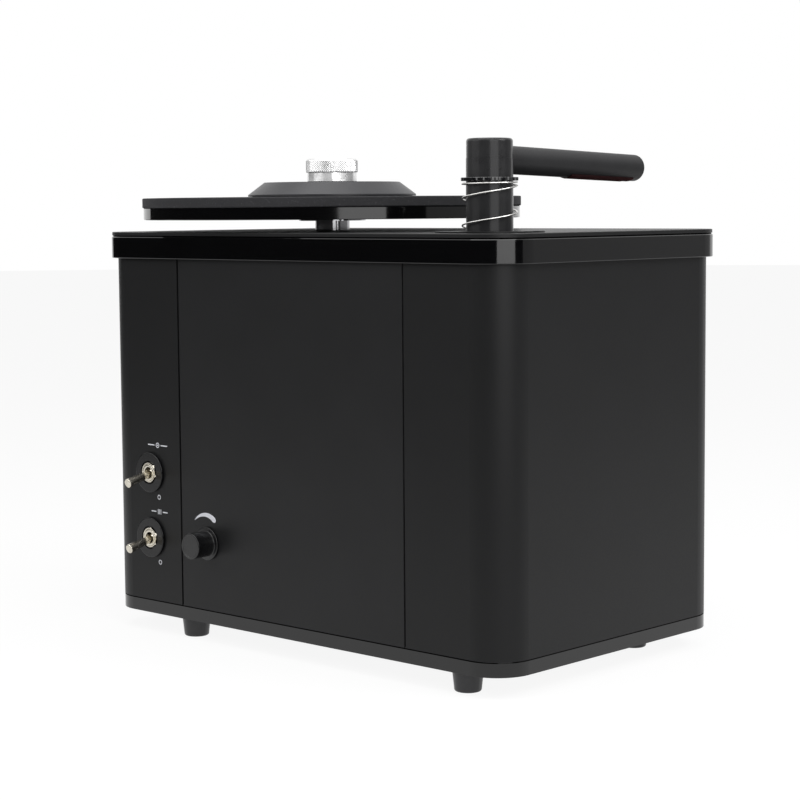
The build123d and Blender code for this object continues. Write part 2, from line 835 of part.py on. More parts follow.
with BuildPart() as clamp_collet:
    with BuildSketch(Plane.XY.offset(collet_bottom)):
        with Locations(spindle):
            Circle(collet_outer_radius)
    extrude(amount=collet_top - collet_bottom)
    with BuildSketch(Plane.XY.offset(collet_bottom)):
        with Locations(spindle):
            Circle(collet_bush_radius)
    extrude(amount=clamp_bottom + clamp_height / 2 - collet_bottom)
    with BuildSketch(Plane.XY.offset(collet_bottom)):
        with Locations(spindle):
            Circle(collet_inner_radius)
    extrude(amount=collet_top - collet_bottom, mode=Mode.SUBTRACT)
    with BuildSketch(Plane.XY.offset(clamp_top)):
        with Locations(spindle):
            with PolarLocations(collet_outer_radius, collet_slits):
                Rectangle(2 * collet_wall + collet_slit, collet_slit)
    extrude(amount=collet_top - clamp_top, mode=Mode.SUBTRACT)
save(clamp_collet, "clamp_collet")

with BuildPart() as clamp_knob:
    with BuildSketch(upright(*spindle)):
        with BuildLine():
            Polyline(
                (knob_bore_radius, knob_bottom),
                (knob_neck_radius, knob_bottom),
                (knob_neck_radius, knob_bottom + knob_neck_height),
                (knob_grip_radius, knob_bottom + knob_neck_height),
                (knob_grip_radius, knob_top - knob_edge_chamfer),
                (knob_grip_radius - knob_edge_chamfer, knob_top),
                (knob_dish_radius, knob_top),
                (knob_dish_radius - knob_dish_depth, knob_top - knob_dish_depth),
                (0, knob_top - knob_dish_depth),
                (0, knob_bore_top),
                (knob_bore_radius, knob_bore_top),
                close=True,
            )
        make_face()
    revolve(axis=vertical_axis(*spindle))
save(clamp_knob, "clamp_knob")

# ================================================================ vacuum post
post_ring = ring(post, post_flange_radius, well_radius, deck_top, deck_top + post_flange_thickness)
save(post_ring, "post_ring")

with BuildPart() as post_guide:
    with BuildSketch(upright(*post)):
        with BuildLine():
            Polyline(
                (well_radius, guide_top),
                (guide_flange_radius, guide_top),
                (guide_flange_radius, guide_top - guide_flange_thickness),
                (guide_body_radius, guide_top - guide_flange_thickness),
                (guide_body_radius, guide_bottom),
                (turning_bush_radius + running_fit, guide_bottom),
                (turning_bush_radius + running_fit, bush_seat - moving_gap),
                (well_radius, bush_seat - moving_gap),
                close=True,
            )
        make_face()
    revolve(axis=vertical_axis(*post))
save(post_guide, "post_guide")

with BuildPart() as turning_bush:
    with BuildSketch(upright(*post)):
        with BuildLine():
            Polyline(
                (post_radius + running_fit, turning_bush_bottom),
                (turning_bush_radius, turning_bush_bottom),
                (turning_bush_radius, bush_seat),
                (turning_bush_flange_radius, bush_seat),
                (turning_bush_flange_radius, spring_seat),
                (post_radius + running_fit, spring_seat),
                close=True,
            )
        make_face()
    revolve(axis=vertical_axis(*post))
save(turning_bush, "turning_bush")

arm_turn = radians(arm_rest_angle)
arm_fall = radians(arm_droop)
arm_direction = Vector(-sin(arm_turn) * cos(arm_fall), cos(arm_turn) * cos(arm_fall), -sin(arm_fall))
arm_left = (-cos(arm_turn), -sin(arm_turn), 0)
arm_origin = Vector(post_x, post_y, arm_axis_z)


def across_arm(distance):
    """Plane square to the arm at a distance from the post's axis: local y is up."""
    return Plane(origin=arm_origin + arm_direction * distance, x_dir=arm_left, z_dir=arm_direction)


with BuildPart() as post_tube:
    with BuildSketch(Plane.XY.offset(post_bottom)):
        with Locations(post):
            Circle(post_radius)
            Circle(post_inner_radius, mode=Mode.SUBTRACT)
    extrude(amount=seam_z - post_bottom)
    with BuildSketch(across_arm(0)):
        Circle(arm_radius + touch)
    extrude(amount=2 * post_radius, mode=Mode.SUBTRACT)
save(post_tube, "post_tube")

with BuildPart() as post_cap:
    with BuildSketch(Plane.XY.offset(seam_z + touch)):
        with Locations(post):
            Circle(cap_radius)
    extrude(amount=cap_top - seam_z - touch)
    fillet(post_cap.faces().sort_by(Axis.Z)[-1].edges(), radius=cap_edge_radius)
    with BuildSketch(Plane.XY.offset(seam_z + touch)):
        with Locations(post):
            Circle(post_inner_radius)
    extrude(amount=cap_height - touch - cap_roof, mode=Mode.SUBTRACT)
    with BuildSketch(across_arm(0)):
        Circle(arm_radius + touch)
    extrude(amount=2 * post_radius, mode=Mode.SUBTRACT)
save(post_cap, "post_cap")

with BuildPart() as arm_elbow:
    with BuildSketch(Plane.XY.offset(arm_axis_z - elbow_foot)):
        with Locations(post):
            Circle(post_inner_radius - touch)
    extrude(amount=cap_top - cap_roof - touch - arm_axis_z + elbow_foot)
    with BuildSketch(Plane.XY.offset(arm_axis_z - elbow_foot)):
        with Locations(post):
            Circle(elbow_bore_radius)
    extrude(amount=elbow_foot, mode=Mode.SUBTRACT)
    with BuildSketch(across_arm(0)):
        Circle(arm_radius + touch)
    extrude(amount=2 * post_radius, mode=Mode.SUBTRACT)
    with Locations(Location((post_x, post_y, arm_axis_z))):
        Sphere(elbow_bore_radius, mode=Mode.SUBTRACT)
save(arm_elbow, "arm_elbow")

post_collar = ring(post, collar_radius, post_radius + touch, collar_bottom, collar_top)
save(post_collar, "post_collar")

stop_ring_top = turning_bush_bottom - moving_gap
stop_ring = ring(post, stop_ring_radius, post_radius + touch, stop_ring_top - stop_ring_height, stop_ring_top)
save(stop_ring, "post_stop_ring")

# ================================================================ vacuum arm
slot_far_end = arm_joint - suction_slot_end
slot_near_end = slot_far_end - suction_slot_length
with BuildPart() as arm_tube:
    with BuildSketch(across_arm(arm_start)):
        Circle(arm_radius)
        Circle(arm_radius - arm_wall, mode=Mode.SUBTRACT)
    extrude(amount=arm_joint - arm_start)
    with BuildSketch(across_arm(slot_near_end)):
        with Locations((0, -arm_radius)):
            Rectangle(suction_slot_width, 2 * arm_wall + touch)
    extrude(amount=suction_slot_length, mode=Mode.SUBTRACT)
save(arm_tube, "arm_tube")

with BuildPart() as arm_tip:
    with BuildSketch(across_arm(arm_joint)):
        Circle(arm_radius)
    extrude(amount=arm_tip_length)
    fillet(arm_tip.faces().sort_by(Axis.Y)[-1].edges(), radius=arm_tip_radius)
    with BuildSketch(across_arm(arm_joint)):
        Circle(arm_radius - arm_wall - touch)
    extrude(amount=-arm_tip_spigot)
save(arm_tip, "arm_tip")

velvet_base = arm_radius + touch
velvet_face = velvet_base + velvet_thickness
velvet_middle_angle = (velvet_inner_angle + velvet_outer_angle) / 2
velvet_angles = [radians(a) for a in (velvet_inner_angle, velvet_middle_angle, velvet_outer_angle)]


def rim_points(radius, side):
    """Three points of the arm's cross-section, from beside the slot outwards."""
    return [(side * radius * sin(angle), -radius * cos(angle)) for angle in velvet_angles]


with BuildPart() as velvet_strips:
    for side in (-1, 1):
        base, face = rim_points(velvet_base, side), rim_points(velvet_face, side)
        with BuildSketch(across_arm(slot_near_end - velvet_overrun)):
            with BuildLine():
                ThreePointArc(*base)
                Line(base[-1], face[-1])
                ThreePointArc(*reversed(face))
                Line(face[0], base[0])
            make_face()
        extrude(amount=suction_slot_length + 2 * velvet_overrun)
save(velvet_strips, "velvet_strips")

# ================================================================ spring
# The wire climbs counter-clockwise: closed turns on the seat, open turns, closed turns under
# the collar. Each quarter turn is a pair of arcs that share the tangents at its ends.
quarters = round(4 * spring_turns)
closed_quarters = 4 * closed_turns
wire_rise = collar_bottom - moving_gap - spring_seat - moving_gap - spring_wire
closed_rise = 2 * closed_turns * closed_pitch + closed_pitch / 4
open_pitch = (wire_rise - closed_rise) / (spring_turns - 2 * closed_turns - 1 / 4)


def climb(quarter):
    """Rise per turn at a quarter turn."""
    on_an_end = quarter <= closed_quarters or quarter >= quarters - closed_quarters
    return closed_pitch if on_an_end else open_pitch


def coil_points():
    """Each quarter turn's point and unit tangent."""
    points = []
    height = spring_seat + moving_gap + spring_wire / 2
    for quarter in range(quarters + 1):
        if quarter > 0:
            height += (climb(quarter - 1) + climb(quarter)) / 8
        angle = radians(spring_start_angle) + quarter * pi / 2
        spot = Vector(
            post_x + spring_coil_radius * cos(angle), post_y + spring_coil_radius * sin(angle), height
        )
        slope = climb(quarter) / (2 * pi * spring_coil_radius)
        points.append((spot, Vector(-sin(angle), cos(angle), slope).normalized()))
    return points


def biarc(start, start_tangent, end, end_tangent):
    """Two arcs from one point and tangent to another."""
    step = end - start
    a = 2 * (1 - start_tangent.dot(end_tangent))
    b = 2 * step.dot(start_tangent + end_tangent)
    reach = (sqrt(b * b + 4 * a * step.dot(step)) - b) / (2 * a)
    first_corner = start + start_tangent * reach
    second_corner = end - end_tangent * reach
    middle = (first_corner + second_corner) * 0.5
    TangentArc(start, middle, tangent=start_tangent)
    TangentArc(middle, end, tangent=second_corner - first_corner)


coil = coil_points()
with BuildPart() as spring:
    with BuildLine() as wire_path:
        Line(coil[0][0] - coil[0][1] * spring_wire, coil[0][0])
        for (start, start_tangent), (end, end_tangent) in zip(coil, coil[1:]):
            biarc(start, start_tangent, end, end_tangent)
        Line(coil[-1][0], coil[-1][0] + coil[-1][1] * spring_wire)
    with BuildSketch(Plane(origin=wire_path.line @ 0, z_dir=wire_path.line % 0)):
        Circle(spring_wire / 2)
    sweep()
save(spring, "arm_spring")

samples_per_turn = 48
sample_count = round(samples_per_turn * spring_turns)
samples = [wire_path.line @ (i / sample_count) for i in range(sample_count + 1)]
least_gap = min(
    (samples[i] - samples[j]).length
    for i in range(len(samples))
    for j in range(i + samples_per_turn // 2, len(samples))
) - spring_wire
print(f"arm_spring: open pitch {open_pitch:.2f} mm, least gap to itself {least_gap:.2f} mm")
wire_length = sum(edge.length for edge in wire_path.line.edges())
wire_section = pi * spring_wire**2 / 4
print(f"arm_spring: volume {spring.part.volume:.1f}, section times length {wire_section * wire_length:.1f}")

# ================================================================ toggle switches
lever_tilt = radians(lever_angle)
lever_direction = Vector(0, -cos(lever_tilt), -sin(lever_tilt))
disc_face_y = front_y - switch_disc_thickness
nut_seat_y = disc_face_y + switch_recess_depth
thread_end_y = nut_seat_y - switch_nut_thickness - switch_thread_proud
switch_back_y = front_y + wall
lever_pivot_y = thread_end_y + lever_pivot_depth
with BuildPart() as switch_discs:
    for z in switches.values():
        with BuildSketch(facing_front(switch_x, z)):
            Circle(switch_disc_radius)
        extrude(amount=switch_disc_thickness)
    fillet(switch_discs.faces().sort_by(Axis.Y)[:2].edges(), radius=switch_disc_edge_radius)
    for z in switches.values():
        with BuildSketch(facing_front(switch_x, z)):
            Circle(switch_thread_radius + touch)
        extrude(amount=switch_disc_thickness, mode=Mode.SUBTRACT)
        with BuildSketch(facing_front(switch_x, z, disc_face_y)):
            Circle(switch_recess_radius)
        extrude(amount=-switch_recess_depth, mode=Mode.SUBTRACT)
save(switch_discs, "switch_discs")

with BuildPart() as switch_bodies:
    for z in switches.values():
        with BuildSketch(facing_rear(switch_x, z, switch_back_y)):
            Rectangle(switch_body_width, switch_body_height)
        extrude(amount=switch_body_depth)
        with BuildSketch(facing_rear(switch_x, z, switch_back_y + switch_body_depth)):
            with Locations(*[(0, row * switch_tag_pitch) for row in (-1, 0, 1)]):
                Rectangle(switch_tag_width, switch_tag_thickness)
        extrude(amount=switch_tag_length)
        with BuildSketch(facing_front(switch_x, z, switch_back_y)):
            Circle(switch_thread_radius)
        extrude(amount=switch_back_y - thread_end_y)
        with BuildSketch(facing_front(switch_x, z, thread_end_y)):
            Circle(switch_bore_radius)
        extrude(amount=-switch_bore_depth, mode=Mode.SUBTRACT)
save(switch_bodies, "switch_bodies")

for name, z in switches.items():
    pivot = Vector(switch_x, lever_pivot_y, z)
    tip = pivot + lever_direction * lever_length
    with BuildPart() as lever:
        with Locations(Location(pivot)):
            Sphere(lever_ball_radius)
        with BuildSketch(Plane(origin=pivot, x_dir=(1, 0, 0), z_dir=lever_direction)):
            Circle(lever_neck_radius)
        with BuildSketch(Plane(origin=tip, x_dir=(1, 0, 0), z_dir=lever_direction)):
            Circle(lever_tip_radius)
        loft()
        chamfer(lever.edges().filter_by(GeomType.CIRCLE).sort_by(Axis.Y)[0], length=lever_edge_chamfer)
    save(lever, f"{name}_switch_lever")

# ================================================================ level knob
dial_shaft_tip = front_y - dial_skirt_thickness - dial_bore_depth
with BuildPart() as pot_body:
    with BuildSketch(facing_rear(knob_x, knob_z, front_y + wall)):
        Circle(pot_body_radius)
    extrude(amount=pot_body_depth)
    with BuildSketch(facing_front(knob_x, knob_z, front_y + wall)):
        Circle(pot_thread_radius)
    extrude(amount=pot_thread_length)
    with BuildSketch(facing_front(knob_x, knob_z, front_y + wall - pot_thread_length)):
        Circle(pot_shaft_radius + running_fit)
    extrude(amount=-(pot_thread_length + pot_shaft_tail + moving_gap), mode=Mode.SUBTRACT)
save(pot_body, "level_pot_body")

with BuildPart() as panel_nuts:
    for z in switches.values():
        with BuildSketch(facing_front(switch_x, z, nut_seat_y)):
            RegularPolygon(switch_nut_flats / 2, 6, major_radius=False)
            Circle(switch_thread_radius + touch, mode=Mode.SUBTRACT)
        extrude(amount=switch_nut_thickness)
    with BuildSketch(facing_front(knob_x, knob_z)):
        RegularPolygon(pot_nut_flats / 2, 6, major_radius=False)
        Circle(pot_thread_radius + touch, mode=Mode.SUBTRACT)
    extrude(amount=pot_nut_thickness)
    with BuildSketch(facing_rear(drain_x, drain_z, rear_y - wall)):
        RegularPolygon(drain_nut_flats / 2, 6, major_radius=False)
        Circle(drain_tube_radius + touch, mode=Mode.SUBTRACT)
    extrude(amount=-drain_nut_thickness)
save(panel_nuts, "panel_nuts")

with BuildPart() as pot_shaft:
    with BuildSketch(facing_front(knob_x, knob_z, front_y + wall + pot_shaft_tail)):
        Circle(pot_shaft_radius)
    extrude(amount=front_y + wall + pot_shaft_tail - dial_shaft_tip)
save(pot_shaft, "level_pot_shaft")

with BuildPart() as dial:
    with BuildSketch(Plane.XY.offset(knob_z)):
        with BuildLine():
            Polyline(
                (knob_x + dial_recess_radius, front_y - moving_gap),
                (knob_x + dial_skirt_radius, front_y - moving_gap),
                (knob_x + dial_skirt_radius, front_y - dial_skirt_thickness),
                (knob_x + dial_root_radius, front_y - dial_skirt_thickness - dial_edge_chamfer),
                (knob_x + dial_face_radius, front_y - dial_height + dial_edge_chamfer),
                (knob_x + dial_face_radius - dial_edge_chamfer, front_y - dial_height),
                (knob_x, front_y - dial_height),
                (knob_x, dial_shaft_tip - touch),
                (knob_x + pot_shaft_radius + touch, dial_shaft_tip - touch),
                (knob_x + pot_shaft_radius + touch, front_y - dial_recess_depth),
                (knob_x + dial_recess_radius, front_y - dial_recess_depth),
                close=True,
            )
        make_face()
    revolve(axis=Axis((knob_x, front_y, knob_z), (0, 1, 0)))
save(dial, "level_knob")

# ================================================================ tank
with BuildPart() as tank:
    with BuildSketch(Plane.XY.offset(tank_bottom)):
        with Locations((tank_x, tank_y)):
            RectangleRounded(tank_width, tank_depth, tank_corner_radius)
    extrude(amount=tank_height)
    with BuildSketch(Plane.XY.offset(tank_bottom + tank_wall)):
        with Locations((tank_x, tank_y)):
            RectangleRounded(
                tank_width - 2 * tank_wall, tank_depth - 2 * tank_wall, tank_corner_radius - tank_wall
            )
    extrude(amount=tank_height - tank_wall, mode=Mode.SUBTRACT)
    tank_rear_y = tank_y + tank_depth / 2
    with BuildSketch(facing_rear(drain_x, drain_z, tank_rear_y)):
        Circle(drain_tube_radius)
    extrude(amount=drain_tank_tail)
    with BuildSketch(facing_rear(drain_x, drain_z, tank_rear_y + drain_tank_tail)):
        Circle(drain_bore_radius)
    extrude(amount=-drain_tank_tail - tank_wall, mode=Mode.SUBTRACT)
save(tank, "fluid_tank")

with BuildPart() as tank_lid:
    with BuildSketch(Plane.XY.offset(tank_top)):
        with Locations((tank_x, tank_y)):
            RectangleRounded(tank_width, tank_depth, tank_corner_radius)
    extrude(amount=tank_lid_thickness)
    with BuildSketch(Plane.XY.offset(lid_top)):
        with Locations((hose_x, hose_front_y)):
            Circle(hose_radius - hose_wall - touch)
    extrude(amount=hose_spigot_length)
    with BuildSketch(Plane.XY.offset(tank_top)):
        with Locations((hose_x, hose_front_y)):
            Circle(hose_radius - 2 * hose_wall)
    extrude(amount=tank_lid_thickness + hose_spigot_length, mode=Mode.SUBTRACT)
    with BuildSketch(Plane.XY.offset(tank_top)):
        with Locations(post):
            Circle(post_radius + 2 * moving_gap)
    extrude(amount=tank_lid_thickness, mode=Mode.SUBTRACT)
save(tank_lid, "tank_lid")

tank_seal = ring(post, tank_seal_radius, post_radius + moving_gap, lid_top, lid_top + tank_seal_thickness)
save(tank_seal, "tank_seal")

# ================================================================ vacuum motor
with BuildPart() as vacuum_motor:
    with BuildSketch(Plane.XY.offset(fan_bottom)):
        with Locations((vacuum_x, vacuum_y)):
            Circle(fan_radius)
    extrude(amount=fan_height)
    fillet(vacuum_motor.edges().filter_by(GeomType.CIRCLE), radius=fan_edge_radius)
    with BuildSketch(Plane.XY.offset(fan_top)):
        with Locations((vacuum_x, vacuum_y)):
            Circle(vacuum_can_radius)
    extrude(amount=vacuum_can_height)
    with BuildSketch(Plane.XY.offset(vacuum_can_top)):
        with Locations((vacuum_x, vacuum_y)):
            Circle(vacuum_cap_radius)
    extrude(amount=vacuum_cap_height)
    spigot_end_x = vacuum_x + fan_radius + hose_spigot_length
    with BuildSketch(Plane(origin=(spigot_end_x, hose_rear_y, hose_port_z), z_dir=(1, 0, 0))):
        Circle(hose_radius - hose_wall - touch)
    extrude(amount=vacuum_x - spigot_end_x)
    with BuildSketch(Plane(origin=(spigot_end_x, hose_rear_y, hose_port_z), z_dir=(1, 0, 0))):
        Circle(hose_radius - 2 * hose_wall)
    extrude(amount=-2 * hose_spigot_length, mode=Mode.SUBTRACT)
save(vacuum_motor, "vacuum_motor")

vacuum_mount = ring(
    (vacuum_x, vacuum_y), vacuum_mount_outer_radius, vacuum_mount_inner_radius, wall_bottom, fan_bottom
)
save(vacuum_mount, "vacuum_motor_mount")

with BuildPart() as vacuum_hose:
    with BuildLine() as hose_path:
        hose_top = lid_top + hose_rise
        FilletPolyline(
            (hose_x, hose_front_y, lid_top + touch),
            (hose_x, hose_front_y, hose_top),
            (hose_x, hose_rear_y, hose_top),
            (hose_x, hose_rear_y, hose_port_z),
            (vacuum_x + fan_radius + touch, hose_rear_y, hose_port_z),
            radius=hose_bend_radius,
        )
    with BuildSketch(Plane(origin=hose_path.line @ 0, z_dir=hose_path.line % 0)):
        Circle(hose_radius)
        Circle(hose_radius - hose_wall, mode=Mode.SUBTRACT)
    sweep()
save(vacuum_hose, "vacuum_hose")

# ================================================================ drain
drain_inner_y = rear_y - wall
drain_outer_y = rear_y + drain_flange_thickness
drain_spout_y = drain_outer_y + drain_spout_length
with BuildPart() as drain_fitting:
    with BuildSketch(facing_rear(drain_x, drain_z)):
        Circle(drain_flange_radius)
    extrude(amount=drain_flange_thickness)
    with BuildSketch(facing_rear(drain_x, drain_z)):
        Circle(drain_tube_radius)
    extrude(amount=-wall - drain_tail_length)
    with BuildSketch(facing_rear(drain_x, drain_z)):
        Circle(drain_tube_radius)
    extrude(amount=drain_flange_thickness + drain_spout_length)
    chamfer(drain_fitting.faces().sort_by(Axis.Y)[-1].edges(), length=drain_tip_chamfer)
    with BuildSketch(facing_rear(drain_x, drain_z, drain_spout_y)):
        Circle(drain_bore_radius)
    extrude(
        amount=-(drain_spout_length + drain_flange_thickness + wall + drain_tail_length), mode=Mode.SUBTRACT
    )
save(drain_fitting, "drain_fitting")

with BuildPart() as drain_hose:
    with BuildSketch(facing_rear(drain_x, drain_z, tank_rear_y + touch)):
        Circle(drain_hose_radius)
        Circle(drain_tube_radius + touch, mode=Mode.SUBTRACT)
    extrude(amount=drain_inner_y - drain_nut_thickness - tank_rear_y - 2 * touch)
save(drain_hose, "drain_hose")

with BuildPart() as drain_cap:
    cap_inner_radius = drain_tube_radius + running_fit
    with BuildSketch(facing_rear(drain_x, drain_z, drain_spout_y - drain_cap_length)):
        Circle(cap_inner_radius + drain_cap_wall)
    extrude(amount=drain_cap_length + moving_gap + drain_cap_wall)
    fillet(drain_cap.faces().sort_by(Axis.Y)[-1].edges(), radius=drain_cap_wall / 2)
    with BuildSketch(facing_rear(drain_x, drain_z, drain_spout_y - drain_cap_length)):
        Circle(cap_inner_radius)
    extrude(amount=drain_cap_length + moving_gap, mode=Mode.SUBTRACT)
save(drain_cap, "drain_cap")

# ================================================================ mains inlet
with BuildPart() as inlet:
    with BuildSketch(facing_rear(inlet_x, inlet_z)):
        RectangleRounded(inlet_flange_width, inlet_flange_height, inlet_flange_radius)
        with Locations((-inlet_screw_pitch / 2, 0), (inlet_screw_pitch / 2, 0)):
            Circle(small_screw_radius + touch, mode=Mode.SUBTRACT)
    extrude(amount=inlet_flange_thickness)
    with BuildSketch(facing_rear(inlet_x, inlet_z)):
        RectangleRounded(inlet_body_width, inlet_body_height, inlet_body_radius)
    extrude(amount=inlet_flange_thickness - inlet_body_depth)
    socket_half_width = inlet_socket_width / 2
    socket_half_height = inlet_socket_height / 2
    with BuildSketch(facing_rear(inlet_x, inlet_z, rear_y + inlet_flange_thickness)):
        with BuildLine():
            Polyline(
                (-socket_half_width, -socket_half_height),
                (socket_half_width, -socket_half_height),
                (socket_half_width, socket_half_height - inlet_socket_chamfer),
                (socket_half_width - inlet_socket_chamfer, socket_half_height),
                (inlet_socket_chamfer - socket_half_width, socket_half_height),
                (-socket_half_width, socket_half_height - inlet_socket_chamfer),
                close=True,
            )
        make_face()
    extrude(amount=-inlet_socket_depth, mode=Mode.SUBTRACT)
    with BuildSketch(facing_rear(inlet_x, inlet_z, rear_y + inlet_flange_thickness - inlet_socket_depth)):
        with Locations(
            (-inlet_pin_pitch / 2, -inlet_pin_offset),
            (inlet_pin_pitch / 2, -inlet_pin_offset),
            (0, inlet_pin_offset),
        ):
            Rectangle(inlet_pin_width, inlet_pin_height)
    extrude(amount=inlet_pin_length)
save(inlet, "mains_inlet")

with BuildPart() as inlet_screws:
    screw_spots = [(-inlet_screw_pitch / 2, 0), (inlet_screw_pitch / 2, 0)]
    with BuildSketch(facing_rear(inlet_x, inlet_z, rear_y + inlet_flange_thickness)):
        with Locations(*screw_spots):
            Circle(small_screw_head_radius)
    extrude(amount=small_screw_head_height)
    with BuildSketch(facing_rear(inlet_x, inlet_z, rear_y + inlet_flange_thickness)):
        with Locations(*screw_spots):
            Circle(small_screw_radius)
    extrude(amount=-inlet_flange_thickness - wall)
save(inlet_screws, "inlet_screws")

# ================================================================ control board
board_bottom = wall_bottom + board_height
board_top = board_bottom + board_thickness
board_corners = [
    (
        board_x + x * (board_width / 2 - board_standoff_inset),
        board_y + y * (board_depth / 2 - board_standoff_inset),
    )
    for x in (-1, 1)
    for y in (-1, 1)
]
with BuildPart() as control_board:
    with BuildSketch(Plane.XY.offset(board_bottom)):
        with Locations((board_x, board_y)):
            Rectangle(board_width, board_depth)
    extrude(amount=board_thickness)
    with BuildSketch(Plane.XY.offset(wall_bottom)):
        with Locations(*board_corners):
            Circle(board_standoff_radius)
    extrude(amount=board_height)
    with BuildSketch(Plane.XY.offset(board_top)):
        with Locations((board_x, board_y + board_depth / 2 - terminal_depth)):
            Rectangle(terminal_width, terminal_depth)
    extrude(amount=terminal_height)
save(control_board, "control_board")

with BuildPart() as heatsink:
    with BuildSketch(Plane.XY.offset(board_top)):
        with Locations((board_x, board_y)):
            Rectangle(heatsink_width, heatsink_depth)
    extrude(amount=heatsink_base)
    fin_pitch = (heatsink_width - heatsink_fin) / (heatsink_fins - 1)
    with BuildSketch(Plane.XY.offset(board_top + heatsink_base)):
        with Locations((board_x, board_y)):
            with GridLocations(fin_pitch, heatsink_depth, heatsink_fins, 1):
                Rectangle(heatsink_fin, heatsink_depth)
    extrude(amount=heatsink_height - heatsink_base)
save(heatsink, "board_heatsink")
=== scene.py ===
"""Record cleaning machine: finishes, fine pieces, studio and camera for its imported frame.

Metres. +Z is up, +X runs to the right along the front, +Y to the back.
"""
import json
from math import atan2, cos, pi, radians, sin, tau

import bmesh
import bpy
from bpy.props import FloatProperty, FloatVectorProperty, IntProperty, PointerProperty
from mathutils import Matrix, Vector


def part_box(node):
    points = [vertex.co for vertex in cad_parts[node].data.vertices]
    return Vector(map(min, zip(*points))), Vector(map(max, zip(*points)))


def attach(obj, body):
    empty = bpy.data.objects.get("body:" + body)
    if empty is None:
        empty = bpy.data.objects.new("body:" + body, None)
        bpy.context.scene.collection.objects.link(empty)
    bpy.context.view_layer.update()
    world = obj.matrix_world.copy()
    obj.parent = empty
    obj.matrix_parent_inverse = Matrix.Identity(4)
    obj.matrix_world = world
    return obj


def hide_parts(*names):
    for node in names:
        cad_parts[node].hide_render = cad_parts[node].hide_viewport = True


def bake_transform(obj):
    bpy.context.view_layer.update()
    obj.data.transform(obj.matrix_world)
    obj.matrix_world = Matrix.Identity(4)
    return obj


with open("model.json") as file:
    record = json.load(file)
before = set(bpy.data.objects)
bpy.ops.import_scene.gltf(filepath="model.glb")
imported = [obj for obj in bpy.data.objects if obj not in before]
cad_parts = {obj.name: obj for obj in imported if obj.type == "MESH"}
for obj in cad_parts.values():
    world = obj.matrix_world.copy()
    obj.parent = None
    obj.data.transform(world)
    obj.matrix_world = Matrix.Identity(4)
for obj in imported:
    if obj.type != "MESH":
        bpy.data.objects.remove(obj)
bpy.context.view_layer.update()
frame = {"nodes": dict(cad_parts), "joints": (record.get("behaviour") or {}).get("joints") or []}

bl_info = {
    "name": "Record cleaning machine",
    "version": (1, 0, 0),
    "blender": (4, 5, 0),
    "location": "3D View > Sidebar > Record cleaner",
    "description": "Dresses the frame of a record cleaning machine and sets its studio",
    "category": "Object",
}

MM = 0.001
joint_at = {
    joint["name"]: Vector(joint["pos_m"]) for joint in frame["joints"] if joint.get("pos_m")
}
spindle = joint_at["platter_spin"].xy
post = joint_at["arm_swing"].xy
front_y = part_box("front_panel")[0].y
rear_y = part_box("rear_panel")[1].y
table_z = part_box("feet")[0].z


# ---------------------------------------------------------------- what a user would change
class MachineColours(bpy.types.PropertyGroup):
    cabinet: FloatVectorProperty(
        name="Cabinet", description="Powder coat of the walls", subtype="COLOR",
        default=(0.0045, 0.0046, 0.0050), min=0, max=1,
    )
    centre_panel: FloatVectorProperty(
        name="Centre panel", description="Powder coat of the flat panel between the shells",
        subtype="COLOR", default=(0.0085, 0.0086, 0.0092), min=0, max=1,
    )
    rim: FloatVectorProperty(
        name="Rim and base", description="Gloss acrylic of the cover's rim and the base plate",
        subtype="COLOR", default=(0.0018, 0.0018, 0.0021), min=0, max=1,
    )
    mat: FloatVectorProperty(
        name="Platter mat", description="Speckled upper disc of the platter", subtype="COLOR",
        default=(0.020, 0.020, 0.022), min=0, max=1,
    )
    velvet: FloatVectorProperty(
        name="Velvet", description="Pile of the strips under the arm", subtype="COLOR",
        default=(0.010, 0.0022, 0.0026), min=0, max=1,
    )
    nickel: FloatVectorProperty(
        name="Nickel", description="Plating of the switches' nuts and levers", subtype="COLOR",
        default=(0.70, 0.66, 0.57), min=0, max=1,
    )
    print_white: FloatVectorProperty(
        name="Printing", description="Ink of the marks on the front", subtype="COLOR",
        default=(0.78, 0.79, 0.84), min=0, max=1,
    )


class MachineSizes(bpy.types.PropertyGroup):
    knurl_columns: IntProperty(
        name="Knurl columns",
        description="Diamonds round the clamp's knob",
        default=72, min=24, max=96
    )
    knurl_rows: IntProperty(
        name="Knurl rows", description="Diamonds up the clamp's knob", default=6, min=2, max=10
    )
    knurl_depth: FloatProperty(
        name="Knurl depth", description="From a diamond's point to its foot", default=0.5 * MM,
        min=0, unit="LENGTH",
    )
    spring_wire: FloatProperty(
        name="Spring wire", description="Diameter of the arm spring's wire", default=1.1 * MM,
        min=0.2 * MM, unit="LENGTH",
    )
    collar_flutes: IntProperty(
        name="Collar flutes",
        description="Grip notches round the post's collar",
        default=24, min=0, max=64
    )
    pile: FloatProperty(
        name="Velvet pile", description="Height of the velvet above its backing", default=0.9 * MM,
        min=0.2 * MM, unit="LENGTH",
    )
    mark_relief: FloatProperty(
        name="Ink", description="Thickness of the printed marks", default=0.06 * MM, min=0.01 * MM,
        unit="LENGTH",
    )


